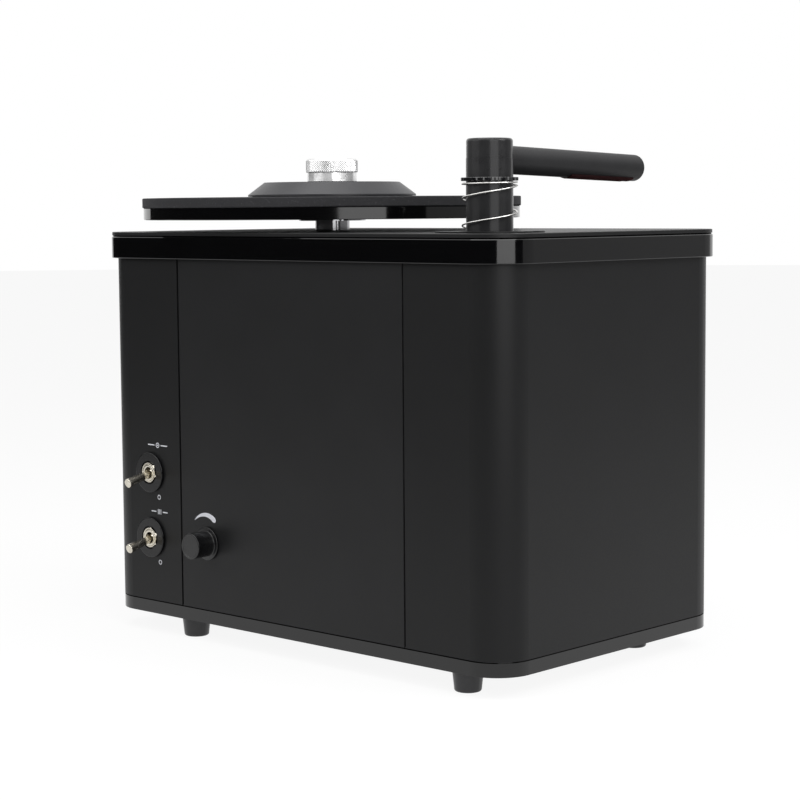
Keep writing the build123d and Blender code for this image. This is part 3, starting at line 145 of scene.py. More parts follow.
class StudioSettings(bpy.types.PropertyGroup):
    lens: FloatProperty(name="Lens", description="Focal length for a 36 mm frame, in mm", default=91.83)
    camera_place: FloatVectorProperty(
        name="Camera", description="Where the camera stands", subtype="XYZ", unit="LENGTH",
        default=(0.99012, -1.06355, 0.29296),
    )
    camera_turn: FloatProperty(
        name="Turn",
        description="Round the object from its front",
        subtype="ANGLE", default=radians(43.07)
    )
    camera_tilt: FloatProperty(
        name="Tilt", description="Below the horizon", subtype="ANGLE", default=radians(5.42)
    )
    camera_roll: FloatProperty(
        name="Roll", description="About the line of sight", subtype="ANGLE", default=radians(-0.44)
    )
    softbox_power: FloatProperty(
        name="Softbox",
        description="Tall lamp to the right of the camera, in watts",
        default=5.3, min=0
    )
    side_power: FloatProperty(
        name="Side softbox",
        description="Raised lamp beyond the right side, in watts",
        default=9.0, min=0
    )
    left_softbox_power: FloatProperty(
        name="Left softbox",
        description="Raised lamp to the left of the camera, in watts",
        default=3.0, min=0
    )
    overhead_power: FloatProperty(
        name="Overhead", description="Lamp above the object, in watts", default=9.0, min=0
    )
    room_light: FloatProperty(
        name="Room",
        description="Strength of the white surroundings as a light",
        default=0.30, min=0
    )
    card_light: FloatProperty(
        name="Front card",
        description="Brightness of the card that the front reflects",
        default=0.02, min=0
    )
    side_card_light: FloatProperty(
        name="Side card",
        description="Brightness of the card that the right side reflects",
        default=0.4, min=0
    )


def colours():
    return bpy.context.scene.machine_colours


def sizes():
    return bpy.context.scene.machine_sizes


def studio():
    return bpy.context.scene.machine_studio


# ---------------------------------------------------------------- materials
LATHE_STRETCH = 0.02      # a lathe's lines run 50 times further round than along
UPRIGHT_GRAIN = 0.25      # a quarter turn sends the smear of a highlight along the axis


class Finish:
    """A node material whose patterns run in the row's own coordinates, in metres."""

    def __init__(self, name, colour, roughness, metallic=0.0, **sockets):
        self.material = bpy.data.materials.new(name)
        self.material.use_nodes = True
        self.nodes = self.material.node_tree.nodes
        self.links = self.material.node_tree.links
        self.shader = self.nodes["Principled BSDF"]
        self.colour = colour
        self.place = self.nodes.new("ShaderNodeTexCoord").outputs["Object"]
        self.shader.inputs["Base Color"].default_value = (*colour, 1)
        self.shader.inputs["Roughness"].default_value = roughness
        self.shader.inputs["Metallic"].default_value = metallic
        for socket, value in sockets.items():
            self.shader.inputs[socket.replace("_", " ")].default_value = value
        self.height = None

    def node(self, kind, inputs=None, **settings):
        made = self.nodes.new(kind)
        for key, value in settings.items():
            setattr(made, key, value)
        for key, value in (inputs or {}).items():
            if isinstance(value, bpy.types.NodeSocket):
                self.links.new(value, made.inputs[key])
            else:
                made.inputs[key].default_value = value
        return made

    def stretched(self, centre=(0, 0, 0), scale=(1, 1, 1)):
        """The row's coordinates about a centre, scaled along each axis."""
        moved = self.node("ShaderNodeVectorMath", {0: self.place, 1: centre}, operation="SUBTRACT")
        scaled = self.node(
            "ShaderNodeVectorMath", {0: moved.outputs[0], 1: scale}, operation="MULTIPLY"
        )
        return scaled.outputs[0]

    def noise(self, grain, detail=3.0, roughness=0.55, place=None):
        """Noise whose grains are about that many metres wide."""
        return self.node(
            "ShaderNodeTexNoise",
            {
                "Vector": place or self.place, "Scale": 1 / grain,
                "Detail": detail, "Roughness": roughness,
            },
        ).outputs["Fac"]

    def lathe_lines(self, grain, centre, axis=2):
        """Noise drawn out into fine lines round an axis."""
        squeeze = [LATHE_STRETCH] * 3
        squeeze[axis] = 1
        return self.noise(grain, detail=3, place=self.stretched(centre, squeeze))

    def cells(self, grain, place=None):
        return self.node(
            "ShaderNodeTexVoronoi", {"Vector": place or self.place, "Scale": 1 / grain}
        ).outputs["Distance"]

    def spread(self, value, low, high, start=0.3, end=0.7):
        """A value from start to end, spread from low to high."""
        return self.node(
            "ShaderNodeMapRange",
            {"Value": value, "From Min": start, "From Max": end, "To Min": low, "To Max": high},
        ).outputs["Result"]

    def math(self, operation, a, b=0.0):
        return self.node("ShaderNodeMath", {0: a, 1: b}, operation=operation).outputs[0]

    def mix(self, factor, colour_a, colour_b):
        mixer = self.node("ShaderNodeMix", data_type="RGBA")
        for index, value in ((0, factor), (6, colour_a), (7, colour_b)):
            if isinstance(value, bpy.types.NodeSocket):
                self.links.new(value, mixer.inputs[index])
            elif index == 0:
                mixer.inputs[index].default_value = value
            else:
                mixer.inputs[index].default_value = (*value[:3], 1)
        return mixer.outputs[2]

    def tints(self, pattern, low, high):
        """The finish's colour, darkened and lightened by a pattern."""
        return self.mix(self.spread(pattern, 0, 1), shade(self.colour, low), shade(self.colour, high))

    def colour_from(self, socket):
        self.links.new(socket, self.shader.inputs["Base Color"])

    def roughness_from(self, socket):
        self.links.new(socket, self.shader.inputs["Roughness"])

    def relief(self, value, depth, strength=1.0):
        """Adds a bump of that depth in metres on top of the ones before."""
        inputs = {"Height": value, "Distance": depth, "Strength": strength}
        if self.height is not None:
            inputs["Normal"] = self.height
        self.height = self.node("ShaderNodeBump", inputs).outputs["Normal"]
        self.links.new(self.height, self.shader.inputs["Normal"])


def shade(colour, factor):
    return tuple(min(1.0, channel * factor) for channel in colour[:3])


def powder_coat(name, colour, roughness=0.42, gloss=0.26):
    """Fine textured powder coat: tight orange peel, with a few grains painted lighter as painted glints
    of light.
    """
    finish = Finish(name, colour, roughness, Specular_IOR_Level=gloss)
    grain = finish.noise(0.7 * MM, detail=4)
    peel = finish.noise(2.6 * MM, detail=2)
    cloud = finish.noise(60 * MM, detail=2)
    tinted = finish.tints(cloud, 0.88, 1.12)
    # painted glints: small cells painted three times lighter than the coat, standing in for light
    # sparkling on its grains
    glint_specks = finish.spread(finish.cells(1.1 * MM), 1, 0, 0.05, 0.16)
    finish.colour_from(finish.mix(finish.math("MULTIPLY", glint_specks, 0.35), tinted, shade(colour, 3.0)))
    finish.roughness_from(finish.spread(grain, roughness - 0.07, roughness + 0.07))
    finish.relief(peel, 0.035 * MM, 0.5)
    finish.relief(grain, 0.018 * MM, 0.8)
    return finish.material


def gloss_acrylic(name, colour):
    """Polished cast acrylic with faint saw ripple along its edges."""
    finish = Finish(name, colour, 0.07)
    ripple = finish.noise(9 * MM, detail=1, place=finish.stretched(scale=(1, 1, 0.12)))
    haze = finish.noise(35 * MM, detail=3)
    finish.roughness_from(finish.spread(haze, 0.05, 0.13))
    finish.relief(ripple, 0.02 * MM, 0.35)
    return finish.material


def satin_lacquer(name, colour, roughness, gloss=0.5):
    """Even lacquer with a soft grain."""
    finish = Finish(name, colour, roughness, Specular_IOR_Level=gloss)
    cloud = finish.noise(24 * MM, detail=3)
    grain = finish.noise(0.9 * MM, detail=2)
    finish.colour_from(finish.tints(cloud, 0.9, 1.15))
    finish.roughness_from(finish.spread(grain, roughness - 0.05, roughness + 0.05))
    finish.relief(grain, 0.006 * MM, 0.6)
    return finish.material


def moulded_rubber(name, colour=(0.012, 0.012, 0.013), roughness=0.34):
    """Rubber with a little dust in its grain."""
    finish = Finish(name, colour, roughness)
    grain = finish.noise(0.5 * MM, detail=3)
    dust = finish.noise(14 * MM, detail=4)
    finish.colour_from(finish.tints(dust, 0.85, 1.6))
    finish.roughness_from(finish.spread(dust, roughness - 0.08, roughness + 0.12))
    finish.relief(grain, 0.02 * MM, 0.5)
    return finish.material


def moulded_plastic(name, colour, roughness):
    """Spark-eroded plastic with flow marks."""
    finish = Finish(name, colour, roughness)
    spark = finish.noise(0.35 * MM, detail=2)
    flow = finish.noise(18 * MM, detail=2)
    finish.colour_from(finish.tints(flow, 0.92, 1.1))
    finish.roughness_from(finish.spread(flow, roughness - 0.04, roughness + 0.06))
    finish.relief(spark, 0.008 * MM, 0.6)
    return finish.material


def turned_metal(
    name, colour, centre, roughness=0.18, axis=2, line=0.25 * MM, groove=0.006 * MM, smeared=0.0
):
    """Metal from a lathe: fine lines round the axis and reflections drawn across them."""
    finish = Finish(
        name, colour, roughness, metallic=1.0, Anisotropic=smeared, Anisotropic_Rotation=UPRIGHT_GRAIN
    )
    lines = finish.lathe_lines(line, centre, axis)
    smear = finish.noise(6 * MM, detail=3)
    finish.colour_from(finish.tints(smear, 0.86, 1.06))
    finish.roughness_from(finish.spread(smear, roughness - 0.05, roughness + 0.08))
    finish.relief(lines, groove, 0.5)
    return finish.material


def two_tone_hub(name, bright, centre, joint_z):
    """Turned steel whose flange above a height is blackened."""
    finish = Finish(name, bright, 0.12, metallic=1.0)
    height = finish.node("ShaderNodeSeparateXYZ", {"Vector": finish.place}).outputs["Z"]
    above = finish.math("GREATER_THAN", height, joint_z)
    smear = finish.tints(finish.noise(6 * MM), 0.86, 1.06)
    finish.colour_from(finish.mix(above, smear, (0.02, 0.02, 0.022)))
    lines = finish.lathe_lines(0.25 * MM, centre)
    finish.relief(lines, 0.01 * MM, 0.5)
    return finish.material


def anodised(name, colour, centre, roughness=0.3, gloss=0.35):
    """Black anodised aluminium with the lathe's lines round its axis."""
    finish = Finish(
        name, colour, roughness, Specular_IOR_Level=gloss, Anisotropic=0.85,
        Anisotropic_Rotation=UPRIGHT_GRAIN,
    )
    lines = finish.lathe_lines(0.3 * MM, centre)
    cloud = finish.noise(9 * MM, detail=3)
    finish.colour_from(finish.tints(cloud, 0.85, 1.2))
    finish.roughness_from(finish.spread(cloud, roughness - 0.04, roughness + 0.05))
    finish.relief(lines, 0.01 * MM, 0.6)
    return finish.material


def nickel_plate(name, colour, roughness=0.16):
    """Plated metal with faint clouds of tarnish."""
    finish = Finish(name, colour, roughness, metallic=1.0)
    tarnish = finish.noise(3.5 * MM, detail=4)
    finish.colour_from(finish.tints(tarnish, 0.72, 1.08))
    finish.roughness_from(finish.spread(tarnish, roughness - 0.05, roughness + 0.12))
    finish.relief(finish.noise(0.4 * MM, detail=2), 0.006 * MM, 0.5)
    return finish.material


def speckled_mat(name, colour):
    """Granulated mat: dark binder with small lighter crumbs and a rough surface."""
    finish = Finish(name, colour, 0.85, Specular_IOR_Level=0.35)
    crumbs = finish.cells(1.3 * MM)
    fine = finish.noise(0.6 * MM, detail=4)
    pale = finish.spread(crumbs, 1, 0, 0.10, 0.30)
    picked = finish.math("MULTIPLY", pale, finish.spread(finish.noise(2.4 * MM), 0, 1, 0.45, 0.62))
    base = finish.tints(fine, 0.6, 1.5)
    finish.colour_from(finish.mix(picked, base, shade(colour, 4.2)))
    finish.roughness_from(finish.spread(fine, 0.75, 0.95))
    finish.relief(crumbs, 0.12 * MM, 0.5)
    finish.relief(fine, 0.05 * MM, 0.6)
    return finish.material


def gloss_disc(name, colour, centre):
    """Gloss disc with a soft haze in its roughness and a faint ripple."""
    finish = Finish(name, colour, 0.06)
    haze = finish.noise(40 * MM, detail=3, place=finish.stretched(centre))
    finish.roughness_from(finish.spread(haze, 0.04, 0.12))
    finish.relief(finish.noise(12 * MM, detail=1), 0.02 * MM, 0.25)
    return finish.material


def velvet_pile(name, colour):
    """Short pile whose nap lies in patches."""
    finish = Finish(
        name, colour, 0.95, Specular_IOR_Level=0.1, Sheen_Weight=0.12, Sheen_Roughness=0.4
    )
    finish.shader.inputs["Sheen Tint"].default_value = (0.5, 0.15, 0.15, 1)
    pile = finish.noise(0.25 * MM, detail=4)
    nap = finish.noise(5 * MM, detail=3)
    finish.colour_from(finish.tints(nap, 0.6, 1.5))
    finish.relief(pile, 0.25 * MM, 0.8)
    return finish.material


def sintered_bronze():
    finish = Finish("sintered_bronze", (0.50, 0.33, 0.15), 0.42, metallic=1.0)
    pores = finish.cells(0.45 * MM)
    open_pores = finish.spread(pores, 0, 1, 0.1, 0.4)
    finish.colour_from(finish.mix(open_pores, (0.2, 0.12, 0.05), (0.55, 0.38, 0.18)))
    finish.relief(pores, 0.02 * MM, 0.6)
    return finish.material


def milky_tank():
    finish = Finish("milky_polyethylene", (0.62, 0.64, 0.61), 0.45)
    flow = finish.noise(40 * MM, detail=3)
    finish.colour_from(finish.mix(finish.spread(flow, 0, 1), (0.55, 0.57, 0.54), (0.70, 0.72, 0.69)))
    finish.relief(finish.noise(1.5 * MM, detail=2), 0.04 * MM, 0.5)
    return finish.material


def circuit_board():
    """Green mask over copper tracks that run in straight lanes."""
    finish = Finish("circuit_board", (0.012, 0.10, 0.04), 0.35)
    lanes = finish.node(
        "ShaderNodeTexBrick",
        {"Vector": finish.place, "Scale": 1.0, "Brick Width": 9 * MM, "Row Height": 2.4 * MM,
         "Mortar Size": 0.35 * MM, "Color1": (0.012, 0.10, 0.04, 1), "Color2": (0.010, 0.085, 0.035, 1),
         "Mortar": (0.03, 0.20, 0.08, 1)},
    )
    finish.colour_from(lanes.outputs["Color"])
    finish.relief(lanes.outputs["Fac"], 0.03 * MM, 0.4)
    return finish.material


def printing_ink(name, colour):
    finish = Finish(name, colour, 0.5)
    finish.colour_from(finish.tints(finish.noise(1.2 * MM), 0.93, 1.03))
    finish.relief(finish.noise(0.25 * MM), 0.01 * MM, 0.5)
    return finish.material


def make_materials():
    """Each finish of the machine, by name."""
    made = {}
    chosen = colours()
    hub_centre = (*spindle, 0)
    post_centre = (*post, 0)
    made["cabinet"] = powder_coat("cabinet_powder_coat", chosen.cabinet)
    made["centre_panel"] = powder_coat("centre_panel_powder_coat", chosen.centre_panel)
    made["rim"] = gloss_acrylic("rim_gloss", chosen.rim)
    made["deck"] = powder_coat("deck_powder_coat", shade(chosen.cabinet, 1.1))
    made["foot"] = moulded_rubber("foot_rubber")
    made["soft_rubber"] = moulded_rubber("soft_rubber", roughness=0.6)
    made["hose"] = moulded_rubber("hose_rubber", (0.015, 0.015, 0.016), 0.5)
    made["zinc"] = nickel_plate("zinc_plate", (0.52, 0.53, 0.55), 0.3)
    made["blackened"] = satin_lacquer("blackened_steel", (0.012, 0.012, 0.013), 0.35)
    made["extruded"] = turned_metal("extruded_aluminium", (0.62, 0.63, 0.65), (0, 0, 0), 0.32, axis=0)
    made["turned"] = turned_metal("turned_aluminium", (0.66, 0.67, 0.69), hub_centre, 0.26)
    made["bright_knob"] = turned_metal(
        "knurled_aluminium", (0.90, 0.90, 0.90), hub_centre, 0.30, groove=0.012 * MM, smeared=0.8
    )
    made["bronze"] = sintered_bronze()
    made["nylon"] = moulded_plastic("natural_nylon", (0.66, 0.66, 0.60), 0.45)
    made["polished"] = turned_metal("polished_steel", (0.72, 0.72, 0.72), hub_centre, 0.10)
    made["hub"] = two_tone_hub(
        "hub_steel", (0.34, 0.34, 0.35), hub_centre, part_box("platter_hub")[1].z - 2.6 * MM
    )
    made["collar"] = satin_lacquer("collar_black", (0.006, 0.006, 0.007), 0.13, gloss=0.7)
    made["wire"] = turned_metal("spring_wire", (0.74, 0.73, 0.71), post_centre, 0.14)
    made["disc_gloss"] = gloss_disc("platter_gloss", chosen.rim, hub_centre)
    made["mat"] = speckled_mat("platter_mat", chosen.mat)
    made["clamp"] = satin_lacquer("clamp_satin", (0.022, 0.022, 0.025), 0.40)
    made["brass"] = turned_metal("collet_brass", (0.62, 0.44, 0.18), hub_centre, 0.25)
    made["post"] = anodised("post_anodised", (0.008, 0.008, 0.009), post_centre)
    made["arm"] = satin_lacquer("arm_satin", (0.016, 0.016, 0.017), 0.48, gloss=0.18)
    made["acetal"] = moulded_plastic("black_acetal", (0.014, 0.014, 0.015), 0.4)
    made["trim"] = satin_lacquer("switch_disc_black", (0.003, 0.003, 0.0035), 0.20, gloss=0.35)
    made["nickel"] = nickel_plate("nickel_plate", chosen.nickel)
    made["knob"] = moulded_plastic("dial_black", (0.004, 0.004, 0.0045), 0.26)
    made["case"] = moulded_plastic("switch_case", (0.030, 0.010, 0.008), 0.5)
    made["motor"] = satin_lacquer("motor_grey", (0.17, 0.18, 0.19), 0.4)
    made["die_cast"] = turned_metal("die_cast", (0.42, 0.43, 0.44), (0, 0, 0), 0.45, line=1.2 * MM)
    made["tank"] = milky_tank()
    made["inlet"] = moulded_plastic("inlet_black", (0.010, 0.010, 0.011), 0.36)
    made["board"] = circuit_board()
    made["velvet"] = velvet_pile("red_velvet", chosen.velvet)
    made["ink"] = printing_ink("white_ink", chosen.print_white)
    return made


NODE_FINISH = {
    "cabinet": ("side_shell_left", "side_shell_right"),
    "centre_panel": ("front_panel", "rear_panel"),
    "rim": ("top_cover", "base_plate"),
    "deck": ("top_plate", "post_ring"),
    "foot": ("feet",),
    "soft_rubber": ("clamp_seal", "tank_seal", "vacuum_motor_mount", "drain_cap"),
    "hose": ("vacuum_hose", "drain_hose"),
    "zinc": ("foot_screws", "machine_screws", "motor_standoffs", "gear_motor_shaft", "post_stop_ring",
             "level_pot_body", "level_pot_shaft"),
    "blackened": ("inlet_screws",),
    "extruded": ("joint_strips", "motor_plate", "board_heatsink"),
    "turned": ("spindle_bearing", "shaft_coupling", "post_guide"),
    "bright_knob": ("clamp_knob",),
    "bronze": ("bearing_bushes",),
    "nylon": ("thrust_washer",),
    "hub": ("platter_hub",),
    "polished": ("record_pin",),
    "collar": ("post_collar",),
    "wire": ("arm_spring",),
    "disc_gloss": ("platter_lower_disc",),
    "mat": ("platter_upper_disc",),
    "clamp": ("clamp_cone",),
    "brass": ("clamp_collet",),
    "post": ("post_tube", "post_cap"),
    "arm": ("arm_tube", "arm_tip"),
    "acetal": ("turning_bush", "arm_elbow"),
    "trim": ("switch_discs",),
    "nickel": ("panel_nuts", "turntable_switch_lever", "vacuum_switch_lever", "drain_fitting"),
    "knob": ("level_knob",),
    "case": ("switch_bodies",),
    "motor": ("gear_motor",),
    "die_cast": ("vacuum_motor",),
    "tank": ("fluid_tank", "tank_lid"),
    "inlet": ("mains_inlet",),
    "board": ("control_board",),
    "velvet": ("velvet_strips",),
}
finishes = {}


# ---------------------------------------------------------------- making pieces
def add_piece(name, bm, body, materials, sharp=32, replaces=()):
    """Turn a finished bmesh into an object that rides on a body."""
    bmesh.ops.remove_doubles(bm, verts=bm.verts, dist=0.002 * MM)
    bmesh.ops.recalc_face_normals(bm, faces=bm.faces)
    mesh = bpy.data.meshes.new(name)
    bm.to_mesh(mesh)
    bm.free()
    for material in materials:
        mesh.materials.append(finishes[material])
    mesh.shade_smooth()
    mesh.set_sharp_from_angle(angle=radians(sharp))
    piece = bpy.data.objects.new(name, mesh)
    bpy.context.scene.collection.objects.link(piece)
    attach(piece, body)
    if replaces:
        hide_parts(*replaces)
    return piece


def standing(x, y, z=0.0):
    """Local Z up, at a place."""
    return Matrix.Translation((x, y, z))


def facing_front(x, z, y=None):
    """Local Z out of the front, local X to the right and local Y up."""
    turn = Matrix(((1, 0, 0), (0, 0, -1), (0, 1, 0))).to_4x4()
    return Matrix.Translation((x, front_y if y is None else y, z)) @ turn


def facing_rear(x, z, y=None):
    """Local Z out of the back, local X to the left and local Y up."""
    turn = Matrix(((-1, 0, 0), (0, 0, 1), (0, 1, 0))).to_4x4()
    return Matrix.Translation((x, rear_y if y is None else y, z)) @ turn


def arc_points(centre, radius, start, end, count):
    """Points of an arc in a profile, angles in degrees from straight out."""
    angles = [radians(start + (end - start) * i / count) for i in range(count + 1)]
    return [(centre[0] + radius * cos(a), centre[1] + radius * sin(a)) for a in angles]


def rectangle(half_width, half_height, up=0.0):
    """Corners of a rectangle for prism(), its middle that far up."""
    return [
        (-half_width, up - half_height), (half_width, up - half_height),
        (half_width, up + half_height), (-half_width, up + half_height),
    ]


def turned(bm, profile, steps, place):
    """Spin a profile of (radius, height) points about local Z; returns its vertices."""
    before = set(bm.verts)
    chain = [bm.verts.new((radius, 0, height)) for radius, height in profile]
    edges = [bm.edges.new(pair) for pair in zip(chain, chain[1:])]
    bmesh.ops.spin(
        bm, geom=chain + edges, cent=(0, 0, 0), axis=(0, 0, 1), angle=tau, steps=steps, use_merge=True
    )
    made = [v for v in bm.verts if v not in before]
    bmesh.ops.remove_doubles(bm, verts=made, dist=0.002 * MM)
    made = [v for v in bm.verts if v not in before]
    bmesh.ops.transform(bm, matrix=place, verts=made)
    return made


def prism(bm, corners, height, place, bevel=0.0):
    """Extrude a flat outline up local Z and round its far edges."""
    before = set(bm.verts)
    base = bm.faces.new([bm.verts.new((x, y, 0)) for x, y in corners])
    raised = bmesh.ops.extrude_face_region(bm, geom=[base])["geom"]
    top = [g for g in raised if isinstance(g, bmesh.types.BMVert)]
    bmesh.ops.translate(bm, verts=top, vec=(0, 0, height))
    if bevel:
        rim = [g for g in raised if isinstance(g, bmesh.types.BMEdge)]
        bmesh.ops.bevel(
            bm, geom=rim, offset=bevel, offset_type="OFFSET", segments=2, profile=0.5,
            affect="EDGES", material=-1,
        )
    made = [v for v in bm.verts if v not in before]
    bmesh.ops.transform(bm, matrix=place, verts=made)
    return made


def knurl(verts, axis_xy, foot, point, bottom, top, columns, rows):
    """Push every other vertex of a fine cylinder outwards and split its squares into diamonds."""
    step_round, step_up = tau / columns, (top - bottom) / rows
    raised, faces = set(), set()
    for vert in verts:
        flat = vert.co.xy - axis_xy
        if abs(flat.length - foot) > 0.01 * MM or not bottom - 1e-6 <= vert.co.z <= top + 1e-6:
            continue
        column = round(atan2(flat.y, flat.x) / step_round)
        row = round((vert.co.z - bottom) / step_up)
        faces.update(f for f in vert.link_faces if len(f.verts) == 4)
        if 0 < row < rows and (column + row) % 2:
            raised.add(vert)
    for vert in raised:
        flat = (vert.co.xy - axis_xy).normalized() * (point - foot)
        vert.co += Vector((flat.x, flat.y, 0))
    for face in faces:
        low = [v for v in face.verts if v not in raised]
        if len(low) == 2:
            bmesh.utils.face_split(face, low[0], low[1])


# ---------------------------------------------------------------- operators
class CLEANER_OT_finishes(bpy.types.Operator):
    """Make the finishes and give each carried-over part its own"""

    bl_idname = "cleaner.finishes"
    bl_label = "Finishes"

    def execute(self, context):
        finishes.update(make_materials())
        for finish, names in NODE_FINISH.items():
            for name in names:
                part = frame["nodes"][name]
                part.data.materials.clear()
                part.data.materials.append(finishes[finish])
        dressed = [name for names in NODE_FINISH.values() for name in names]
        if sorted(dressed) != sorted(frame["nodes"]):
            raise RuntimeError(f"without a finish: {sorted(set(frame['nodes']) - set(dressed))}")
        return {"FINISHED"}


class CLEANER_OT_clamp_knob(bpy.types.Operator):
    """Knurled knob with a polished neck on the record clamp"""

    bl_idname = "cleaner.clamp_knob"
    bl_label = "Clamp knob"

    def execute(self, context):
        low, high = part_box("clamp_knob")
        columns, rows = 2 * sizes().knurl_columns, 2 * sizes().knurl_rows
        point = (high.x - low.x) / 2
        foot = point - sizes().knurl_depth
        neck, bore = 18.1 * MM, 6.3 * MM
        grip_bottom, grip_top = low.z + 6.8 * MM, high.z - 0.9 * MM
        dish, roof = 12.0 * MM, 7.0 * MM
        wall = [(foot, grip_bottom + (grip_top - grip_bottom) * row / rows) for row in range(rows + 1)]
        profile = [
            (0, high.z - roof),
            (bore, high.z - roof),
            (bore, low.z),
            (neck - 0.4 * MM, low.z),
            (neck, low.z + 0.4 * MM),
            (neck, grip_bottom - 0.5 * MM),
            (neck - 0.35 * MM, grip_bottom - 0.3 * MM),
            (neck - 0.35 * MM, grip_bottom),
            *wall,
            (foot - 0.7 * MM, high.z),
            (dish, high.z),
            *arc_points((dish - 0.8 * MM, high.z), 0.8 * MM, -30, -90, 3),
            (3.0 * MM, high.z - 0.8 * MM),
            (0, high.z - 0.8 * MM),
        ]
        bm = bmesh.new()
        verts = turned(bm, profile, columns, standing(*spindle))
        knurl(verts, spindle, foot, point, grip_bottom, grip_top, columns, rows)
        add_piece(
            "clamp_knob_knurled", bm, "clamp_nut", ["bright_knob"], sharp=20,
            replaces=["clamp_knob"],
        )
        return {"FINISHED"}


class CLEANER_OT_arm_spring(bpy.types.Operator):
    """Coil spring of round wire between its seat and the post's collar"""

    bl_idname = "cleaner.arm_spring"
    bl_label = "Arm spring"

    turns: FloatProperty(name="Turns", description="Coils of the spring", default=4.5, min=3, max=12)
    closed_pitch: FloatProperty(
        name="Closed pitch", description="Rise of a turn that lies on its end", default=1.5 * MM,
        unit="LENGTH",
    )
    start_angle: FloatProperty(
        name="Start", description="Where the wire begins, from the right", subtype="ANGLE",
        default=radians(265),
    )

    def execute(self, context):
        low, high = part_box("arm_spring")
        wire = sizes().spring_wire
        coil_radius = (high.x - low.x - wire) / 2
        steps = 32
        ends, easing = 1.0, 0.25    # turns that lie closed at each end, and that open up
        rise = high.z - low.z - wire
        closed_rise = self.closed_pitch * (2 * ends + easing)
        open_pitch = (rise - closed_rise) / (self.turns - 2 * ends - easing)

        def pitch(turn):
            into = min(turn, self.turns - turn) - ends
            share = min(max(into / easing, 0), 1)
            return self.closed_pitch + (open_pitch - self.closed_pitch) * share

        points, height = [], low.z + wire / 2
        for step in range(round(self.turns * steps) + 1):
            turn = step / steps
            angle = self.start_angle + tau * turn
            out = coil_radius * Vector((cos(angle), sin(angle)))
            points.append(Vector((*(post + out), height)))
            height += pitch(turn + 0.5 / steps) / steps
        foot, climbed = points[0].z, points[-1].z - points[0].z
        for spot in points:
            spot.z = foot + (spot.z - foot) * rise / climbed
        curve = bpy.data.curves.new("arm_spring_wire", "CURVE")
        curve.dimensions = "3D"
        curve.bevel_depth = wire / 2
        curve.bevel_resolution = 5
        curve.use_fill_caps = True
        line = curve.splines.new("POLY")
        line.points.add(len(points) - 1)
        for target, spot in zip(line.points, points):
            target.co = (*spot, 1)
        coiled = bpy.data.objects.new("arm_spring_wire", curve)
        context.scene.collection.objects.link(coiled)
        context.view_layer.update()
        mesh = bpy.data.meshes.new_from_object(coiled.evaluated_get(context.evaluated_depsgraph_get()))
        bpy.data.objects.remove(coiled)
        mesh.shade_smooth()
        mesh.materials.clear()
        mesh.materials.append(finishes["wire"])
        spring = bpy.data.objects.new("arm_spring_wire", mesh)
        context.scene.collection.objects.link(spring)
        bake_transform(spring)
        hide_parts("arm_spring")
        return {"FINISHED"}


class CLEANER_OT_post_collar(bpy.types.Operator):
    """Fluted black collar that the spring pushes on"""

    bl_idname = "cleaner.post_collar"
    bl_label = "Post collar"

    def execute(self, context):
        low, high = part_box("post_collar")
        outer = (high.x - low.x) / 2
        flutes = sizes().collar_flutes
        per_flute = 6
        sunk = (0, 1, 2)
        columns = per_flute * flutes
        edge, flute_depth, play = 0.25 * MM, 0.45 * MM, 0.05 * MM
        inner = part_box("post_tube")[1].x - post.x + play
        profile = [
            (inner, low.z),
            (outer - edge, low.z),
            (outer, low.z + edge),
            (outer, high.z - edge),
            (outer - edge, high.z),
            (inner, high.z),
            (inner, low.z),
        ]
        bm = bmesh.new()
        verts = turned(bm, profile, columns, standing(*post))
        for vert in verts:
            flat = vert.co.xy - post
            column = round(atan2(flat.y, flat.x) / tau * columns) % per_flute
            if flat.length > inner + edge and column in sunk:
                vert.co -= Vector((*(flat.normalized() * flute_depth), 0))
        add_piece(
            "post_collar_fluted", bm, "arm", ["collar"], sharp=20,
            replaces=["post_collar"],
        )
        return {"FINISHED"}


class CLEANER_OT_velvet(bpy.types.Operator):
    """Velvet strips either side of the arm's suction slot"""

    bl_idname = "cleaner.velvet"
    bl_label = "Velvet strips"

    def execute(self, context):
        arm_radius, turn, droop = 9.1 * MM, radians(3.7), radians(1.45)
        across_arm = Vector((cos(turn), sin(turn), 0))
        along = Vector((-sin(turn) * cos(droop), cos(turn) * cos(droop), -sin(droop)))
        under = along.cross(across_arm).normalized()
        if under.z > 0:
            under.negate()
        axis_height = 322.5 * MM
        axis_start = Vector((*post, axis_height))
        near, far = 83.5 * MM, 158.1 * MM
        inner_angle, outer_angle = radians(12.5), radians(39.5)
        glue, backing = 0.05 * MM, 0.25 * MM
        across, lengthways = 8, 90
        blunt_end, end_rise = 0.35, 12
        for name, side in (("left", -1), ("right", 1)):
            bm = bmesh.new()
            bmesh.ops.create_grid(bm, x_segments=across, y_segments=lengthways, size=0.5)
            for vert in bm.verts:
                share, run = vert.co.x + 0.5, vert.co.y + 0.5
                angle = side * (inner_angle + (outer_angle - inner_angle) * share)
                crown = 1 - (2 * share - 1) ** 6
                ends = min(1, end_rise * min(run, 1 - run) + blunt_end)
                radius = arm_radius + glue + backing + sizes().pile * crown * ends
                centre = axis_start + along * (near + (far - near) * run)
                vert.co = centre + radius * (sin(angle) * across_arm + cos(angle) * under)
            rim = [edge for edge in bm.edges if edge.is_boundary]
            skirt = bmesh.ops.extrude_edge_only(bm, edges=rim)["geom"]
            for vert in [g for g in skirt if isinstance(g, bmesh.types.BMVert)]:
                run = (vert.co - axis_start).dot(along)
                centre = axis_start + along * run
                outwards = (vert.co - centre).normalized()
                vert.co = centre + outwards * (arm_radius + glue)
            bottom = [edge for edge in bm.edges if edge.is_boundary]
            bmesh.ops.holes_fill(bm, edges=bottom, sides=0)
            strip = add_piece(
                f"velvet_strip_{name}", bm, "arm", ["velvet"], sharp=60,
                replaces=["velvet_strips"],
            )
        return {"FINISHED"}


